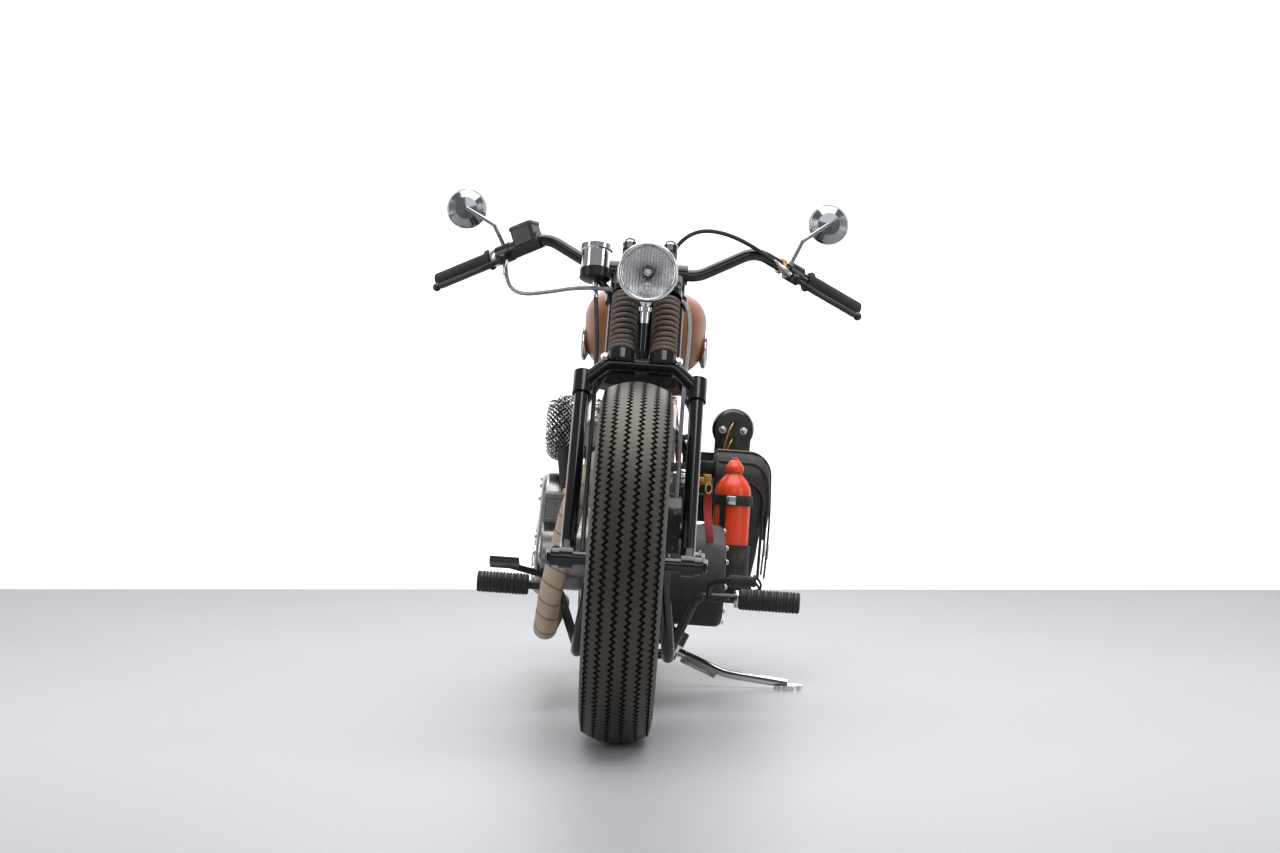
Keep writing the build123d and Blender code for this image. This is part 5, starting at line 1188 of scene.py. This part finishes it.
def over_bag(along_y, low, lift):
    """Rows of points over the bag's top and down its outer face to a low edge, at a lift off the shell:
    the top's height drops round the shoulders, and the face draws in towards the bag's ends."""
    y = np.asarray(along_y, float)[None]
    off = np.abs(y - BAG_MID)
    past = np.clip(off - (BAG_HALF - SHOULDER), 0, SHOULDER)
    top = BAG_TOP - SHOULDER + np.sqrt(np.maximum(SHOULDER**2 - past**2, 0)) + lift
    draw = 0.024 * np.clip((off - (BAG_HALF - 0.030)) / 0.030, 0, 1) ** 2
    round_r = 0.050
    t = np.linspace(0, pi / 2, 12)[:, None]
    flat_x = np.linspace(BAG_IN + 0.004, BAG_OUT - round_r, 6)[:, None] + 0 * y
    arc_x = BAG_OUT + 0.004 - round_r + (round_r + lift) * np.sin(t) - draw * np.sin(t)
    arc_z = top - round_r - lift + (round_r + lift) * np.cos(t)
    drop = np.linspace(0, 1, 14)[1:, None]
    face_x = arc_x[-1:] + 0.004 * np.sin(pi * drop)
    x = np.concatenate([flat_x, arc_x, face_x + 0 * y])
    z = np.concatenate([top + 0 * flat_x, arc_z, arc_z[-1:] * (1 - drop) + np.asarray(low)[None] * drop])
    return np.stack([x, y + 0 * x, z], -1)


def leaf(along_y, low, lift, thick):
    """A strip of leather over the bag: its outer skin, then its inner skin back again, closed at both
    ends along the middle of its thickness."""
    skin = np.concatenate([over_bag(along_y, low, lift + thick), over_bag(along_y, low, lift)[::-1]])
    ends = 0.5 * (skin + skin[::-1])
    return np.concatenate([ends[:, :1], skin, ends[:, -1:]], axis=1)


flap_y = np.linspace(BAG_FRONT + 0.001, BAG_REAR - 0.001, 60)
flap_low = 0.352 + 0.075 * ((flap_y - BAG_MID) / BAG_HALF) ** 2
flap = leaf(flap_y, flap_low, 0.0010, 0.0034)
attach(surface("bag_flap", leaned(flap), bag_hide, (True, False), sharp=50), "frame")
STRAP_Y, STRAP_HALF = (BAG_MID - 0.078, BAG_MID + 0.078), 0.013
for which, y in zip(("front", "rear"), STRAP_Y):
    strap_y = np.linspace(y - STRAP_HALF, y + STRAP_HALF, 6)
    strap = leaf(strap_y, np.full(6, 0.262), 0.0050, 0.0036)
    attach(surface(f"bag_strap_{which}", leaned(strap), bag_hide, (True, False), sharp=50), "frame")
buckle = soft_square(24, (0.019, 0.015), 1.5)
frames = [np.stack([np.full(24, 0.3290), y + buckle[:, 0], 0.330 + buckle[:, 1]], -1) for y in STRAP_Y]
rings = np.stack([bead_along(loop, 0.0023, 8, True, (1, 0, 0)) for loop in frames])
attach(surface("bag_buckles", leaned(rings), chrome, (True, True)), "frame")
tongue = [(0, -0.020), (0.0018, -0.020), (0.0018, 0.016), (0, 0.016)]
fitted("bag_buckle_tongues", tongue, [(0.3310, y, 0.330) for y in STRAP_Y], (0, 0, 1), chrome, 8, "frame")
arch_edge = over_bag(np.array([BAG_FRONT + 0.016]), np.array([0.395]), 0.0030)[:, 0]
beading("bag_flap_edge", arch_edge, 0.0052, bag_hide, False, (0, 1, 0), 10)
hem = over_bag(flap_y[2:-2], flap_low[2:-2] + 0.008, 0.0046)[-1]
stitches("bag_flap_stitches", hem, 0.0050, 0.0012, thread, "frame", (1, 0, 0))
over = np.linspace(0, pi, 24)
welt = np.stack([0.250 - 0.058 * np.cos(over), 0.446 + 0.052 * np.sin(over)], -1)
welt = evenly(np.concatenate([[(0.192, 0.262)], welt, [(0.306, 0.262)]]), 0.006)[0]
beading("bag_welt", np.insert(welt, 1, BAG_FRONT - 0.0005, axis=1), 0.0036, bag_hide, False, (0, 1, 0))
blocks("bag_hangers", [((0.124, 1.173, 0.499), (0.188, 1.207, 0.539)),
                       ((0.124, 1.313, 0.416), (0.188, 1.347, 0.456))],
       bag_hide, "frame", 0.004)
BOTTLE_AT = np.array([0.232, 1.062, 0.250])
cup = [(0, -0.005), (0.044, -0.005), (0.0482, -0.002), (0.0490, 0.006), (0.0490, 0.088), (0.0484, 0.095),
       (0.0460, 0.096), (0.0442, 0.092), (0.0442, 0.040), (0, 0.040)]
fitted("bottle_cup", cup, BOTTLE_AT, (0, 0, 1), bag_hide, 64, "frame")
belt = [(0.0440, 0.190), (0.0482, 0.189), (0.0490, 0.192), (0.0490, 0.210), (0.0482, 0.213),
        (0.0440, 0.212), (0.0440, 0.190)]
fitted("bottle_belt", belt, BOTTLE_AT, (0, 0, 1), bag_hide, 64, "frame")
blocks("bottle_bridges", [((0.212, 1.092, 0.266), (0.252, 1.116, 0.326)),
                          ((0.212, 1.092, 0.440), (0.252, 1.116, 0.462))],
       bag_hide, "frame", 0.003)
spread = np.radians([-128, -122, -116, -110])[None]
tall_z = np.linspace(0.088, 0.196, 20)[:, None]
stay = [np.stack(np.broadcast_arrays(r * np.cos(spread), r * np.sin(spread), tall_z), -1)
        for r in (0.0476, 0.0444)]
stay = np.concatenate([stay[0], stay[1][:, ::-1]], axis=1)
stay_ends = stay.mean(1, keepdims=True) + 0 * stay
stay = np.concatenate([stay_ends[:1], stay, stay_ends[-1:]])
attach(surface("bottle_stay", leaned(stay + BOTTLE_AT), bag_hide, (False, True)), "frame")
blocks("bottle_buckle", [((0.216, 1.0105, 0.441), (0.238, 1.0145, 0.461))], chrome, "frame", 0.001)
LACES = (
    ("bag_lace_long", [(0.296, 1.118, 0.262), (0.316, 1.104, 0.240), (0.330, 1.100, 0.216),
                       (0.312, 1.102, 0.206), (0.298, 1.110, 0.226), (0.288, 1.116, 0.246)]),
    ("bag_lace_short", [(0.280, 1.116, 0.240), (0.296, 1.102, 0.232), (0.318, 1.098, 0.244),
                        (0.312, 1.104, 0.262), (0.298, 1.114, 0.272)]),
)
for name, route in LACES:
    cable(name, np.array(route), bag_hide, "frame", width=0.006)

# Bottle. A round fuel bottle in the bag's cup, glossy orange red, drawn in to a neck and closed by a
# tapered cap with a small hook.
bottle_red = Finish("orange red enamel", Specular_IOR_Level=0.45, Coat_Weight=0.2, Coat_Roughness=0.08)
scuff = bottle_red.at.noise(48, 6.0, 0.7)
bottle_red.set(
    Base_Color=scuff.step(0.62, 0.74).mix((0.84, 0.062, 0.012), (0.52, 0.050, 0.016)),
    Roughness=0.20 + 0.25 * scuff
)
bottle = [(0, 0), (0.034, 0), (0.0405, 0.002), (0.0435, 0.006), (0.0440, 0.012), (0.0440, 0.216),
          (0.0433, 0.224), (0.0405, 0.234), (0.0355, 0.243), (0.0285, 0.252), (0.0215, 0.259),
          (0.0186, 0.263), (0.0180, 0.267), (0.0215, 0.268), (0.0220, 0.271), (0.0220, 0.279),
          (0.0206, 0.282), (0.0172, 0.287), (0.0120, 0.293), (0.0066, 0.297), (0, 0.298)]
flask = turned("fuel_bottle_shell", bottle, BOTTLE_AT, (0, 0, 1), bottle_red, 72, sharp=60)
dressed(flask, "frame", "fuel_bottle")
hook_turn = np.linspace(-0.3, pi + 0.6, 18)
hook = np.stack([0.232 + 0.007 * np.cos(hook_turn), 0 * hook_turn + 1.062,
                 0.5445 + 0.006 * np.sin(hook_turn)], -1)
beading("bottle_hook", hook, 0.0024, bottle_red, False, (0, 1, 0))

# Number plate and rear lamp. A blank plate hangs on an arm at the left of the rear wheel, and over it a
# round lamp: a dark cup, a plated rim and a ribbed red lens to the rear, on a bolted bracket.
LAMP_X, PLATE_REAR = 0.237, 1.513
plate_paint = Finish("plate and bracket paint", Specular_IOR_Level=0.4)
blank = plate_paint.at.part("y").step(float(ORIGIN[1]) + 1.5117, float(ORIGIN[1]) + 1.5120)
film = plate_paint.at.noise(24, 6.0)
plate_paint.set(
    Base_Color=blank.mix((0.016, 0.015, 0.015), film.mix((0.66, 0.66, 0.63), (0.52, 0.51, 0.47))),
    Roughness=0.34 + 0.25 * film,
)
paint(plate_paint, "number_plate")
rim_line = np.insert([LAMP_X, 0.470] + soft_square(48, (0.075, 0.085), 1.25), 1, PLATE_REAR, axis=1)
beading("plate_rim", rim_line, 0.0016, plate_paint, True, (0, 1, 0))
bolts("plate_bolts", [(LAMP_X + x, PLATE_REAR, z) for x in (-0.05, 0.05) for z in (0.4, 0.54)], REAR,
      0.009, 0.004, chrome, "frame")
TAIL_AT = np.array([LAMP_X, 1.492, 0.624])
tail_cup = [(0, 0), (0.041, 0), (0.0475, 0.004), (0.0520, 0.010), (0.0542, 0.017), (0.0548, 0.024),
            (0.0520, 0.025), (0, 0.020)]
can = turned("tail_lamp_cup", tail_cup, TAIL_AT, REAR, enamel, 56)
dressed(can, "frame", "rear_lamp")
tail_rim = [(0.0490, 0.023), (0.0548, 0.023), (0.0554, 0.027), (0.0550, 0.032), (0.0515, 0.034),
            (0.0490, 0.030), (0.0490, 0.023)]
fitted("tail_lamp_rim", tail_rim, TAIL_AT, REAR, chrome, 56, "frame")
red_glass = Finish("red lens", Transmission_Weight=0.35, IOR=1.49, Specular_IOR_Level=0.5)
red_glass.set(Base_Color=red_glass.at.noise(60).mix((0.42, 0.012, 0.010), (0.30, 0.008, 0.008)),
              Roughness=0.08)
ring_r = np.linspace(0.0505, 0.0, 34)
pressed = 0.0006 * np.sin(ring_r * tau / 0.0045) * (ring_r > 0.002)
ring_h = 0.050 - 0.016 * (ring_r / 0.0505) ** 3 + pressed
lens = np.concatenate([[(0, 0.024), (0.0500, 0.024), (0.0508, 0.030)], np.stack([ring_r, ring_h], -1)])
fitted("tail_lamp_lens", lens, TAIL_AT, REAR, red_glass, 56, "frame")
arch_turn = np.linspace(0, pi, 30)
arch = np.stack([LAMP_X + 0.046 * np.cos(arch_turn), 0.622 + 0.046 * np.sin(arch_turn)], -1)
arch_foot = [(LAMP_X - 0.046, 0.556), (LAMP_X, 0.556)]
arch = np.concatenate([[(LAMP_X + 0.046, 0.556)], arch, arch_foot])
heart = np.array([LAMP_X, 0.600])
steps = [(0, 1.4885), (0.97, 1.4885), (1.0, 1.4893), (1.0, 1.4915), (0, 1.4915)]
plate = np.stack([np.insert(heart + share * (arch - heart), 1, y, axis=1) for share, y in steps])
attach(surface("tail_lamp_bracket", leaned(plate), bag_hide, (False, True)), "frame")
bolts("tail_bracket_bolts", [(LAMP_X + x, 1.4885, 0.621) for x in (-0.027, 0.027)], (0, -1, 0), 0.015,
      0.007, chrome, "frame")
grommet = [(0.0040, 0.003), (0.0072, 0.003), (0.0088, 0.001), (0.0088, -0.001), (0.0040, -0.001),
           (0.0040, 0.003)]
fitted("tail_grommets", grommet, [(LAMP_X, 1.4885, z) for z in (0.642, 0.600)], (0, -1, 0), sleeve, 24,
       "frame")
WIRES = (
    ("tail_wire_upper", [(0.237, 1.492, 0.642), (0.236, 1.474, 0.640), (0.226, 1.468, 0.622),
                         (0.218, 1.470, 0.590), (0.212, 1.474, 0.556), (0.196, 1.476, 0.520),
                         (0.150, 1.470, 0.480), (0.130, 1.464, 0.452)]),
    ("tail_wire_lower", [(0.237, 1.492, 0.600), (0.236, 1.476, 0.598), (0.228, 1.470, 0.582),
                         (0.216, 1.476, 0.548), (0.194, 1.482, 0.510), (0.152, 1.478, 0.466),
                         (0.130, 1.472, 0.440)]),
)
for name, route in WIRES:
    cable(name, np.array(route), brass, "frame", width=0.005)

# Foot controls. Ribbed rubber pegs on bent arms, a brake pedal on the right and a shift lever on the
# left, with a plated ring where the left peg meets its arm.
paint(lever_black, "foot_controls")
for side, s, (peg_in, peg_out) in (("left", 1, (0.243, 0.371)), ("right", -1, (0.214, 0.322))):
    span = peg_out - peg_in
    along = np.linspace(0.006, span - 0.008, 6 * int(span / 0.0072))
    ribbed = 0.0225 + 0.0009 * np.sign(np.sin(along * tau / 0.0072))
    sleeve_rows = [(0, -0.001), (0.0200, -0.001), (0.0222, 0.001), (0.0226, 0.005), *zip(ribbed, along),
                   (0.0226, span - 0.005), (0.0226, span), (0.0200, span + 0.0015), (0, span + 0.002)]
    peg = turned(f"{side}_peg_rubber", sleeve_rows, (s * peg_in, 0.557, 0.250), (s, 0, 0), grip_rubber, 44)
    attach(peg, "frame")
collar = [(0.0100, -0.010), (0.0175, -0.010), (0.0190, -0.007), (0.0190, -0.002), (0.0170, 0), (0.0100, 0),
          (0.0100, -0.010)]
fitted("left_peg_ring", collar, (0.242, 0.557, 0.250), (1, 0, 0), chrome, 36, "frame")
toe_ribs = [(0.0118 - 0.0008 * (k % 2), 0.004 + 0.004 * k) for k in range(12)]
toe = [(0, 0), (0.0100, 0), (0.0118, 0.002), *toe_ribs, (0.0118, 0.054), (0.0100, 0.056), (0, 0.056)]
fitted("shifter_rubber", toe, (0.2155, 0.462, 0.295), (1, 0, 0), grip_rubber, 24, "frame")

# Ignition switch. A black plate beside the front barrel carries a plated switch, with the key left in
# it and a plain red ribbon hanging from the key's ring.
paint(enamel, "ignition_switch")
switch = [(0, -0.004), (0.0192, -0.004), (0.0200, 0.002), (0.0200, 0.024), (0.0180, 0.029),
          (0.0128, 0.030), (0.0128, 0.036), (0.0110, 0.038), (0, 0.038)]
fitted("switch_barrel", switch, (0.0985, 0.694, 0.500), (1, 0, 0), chrome, 36, "frame")
blocks("ignition_key", [((0.136, 0.692, 0.495), (0.152, 0.696, 0.505)),
                        ((0.150, 0.6925, 0.488), (0.168, 0.6955, 0.512))], brass,
       "frame", 0.001)
RING_AT, RING_R = np.array([0.1635, 0.694, 0.4810]), 0.0115
ring_turn = tau * np.arange(32) / 32
ring_line = np.stack([0.6 * np.cos(ring_turn), 0.8 * np.cos(ring_turn), np.sin(ring_turn)], -1)
beading("key_ring", RING_AT + RING_R * ring_line, 0.0016, brass, True, (0.8, -0.6, 0))
RIBBON = (0.020, 0.118)
ribbon_red = Finish("red ribbon", Sheen_Weight=0.2)
warp = (ribbon_red.uv.part("x") * (tau * 26)).sine()
ribbon_red.set(Base_Color=ribbon_red.at.noise(55, 4.0).mix((0.74, 0.022, 0.030), (0.56, 0.014, 0.020)),
               Roughness=0.62 + 0.1 * warp).bump(warp, 0.0003)
wide, fall = np.meshgrid(np.linspace(-0.5, 0.5, 9), np.linspace(0, 1, 40), indexing="ij")
twist = 0.5 * fall + 0.25 * np.sin(pi * fall)
narrow = 0.62 + 0.38 * np.clip(fall / 0.12, 0, 1)
hang = RING_AT - [0, 0, RING_R - 0.001] + np.stack([
    RIBBON[0] * wide * narrow * np.cos(twist) + 0.014 * fall**2,
    RIBBON[0] * wide * narrow * np.sin(twist) + 0.006 * np.sin(2.2 * pi * fall),
    -RIBBON[1] * 0.985 * fall], -1)
ribbon_uv = np.stack([wide + 0.5, fall], -1)
ribbon = surface("key_ribbon", leaned(hang), ribbon_red, (False, False), ribbon_uv)
thick = ribbon.modifiers.new("thickness", "SOLIDIFY")
thick.thickness, thick.offset = 0.0009, 0.0
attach(ribbon, "frame")

# Side stand. A plated leg curves out from its pivot under the frame to a round shoe on the ground, with
# a pull spring beside its root.
paint(chrome, "side_stand")
STAND_AT = np.array([0.117, 1.000, 0.092])
leg_way = unit(np.array([0.237, 0.954, 0.048]) - STAND_AT)
spring_foot = STAND_AT + 0.020 * leg_way + [0, -0.020, -0.012]
pull = surface("stand_spring", leaned(coil(spring_foot, leg_way, 0.092, 0.016, 0.0026, 22)), stainless,
               (False, True))
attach(pull, "side_stand")
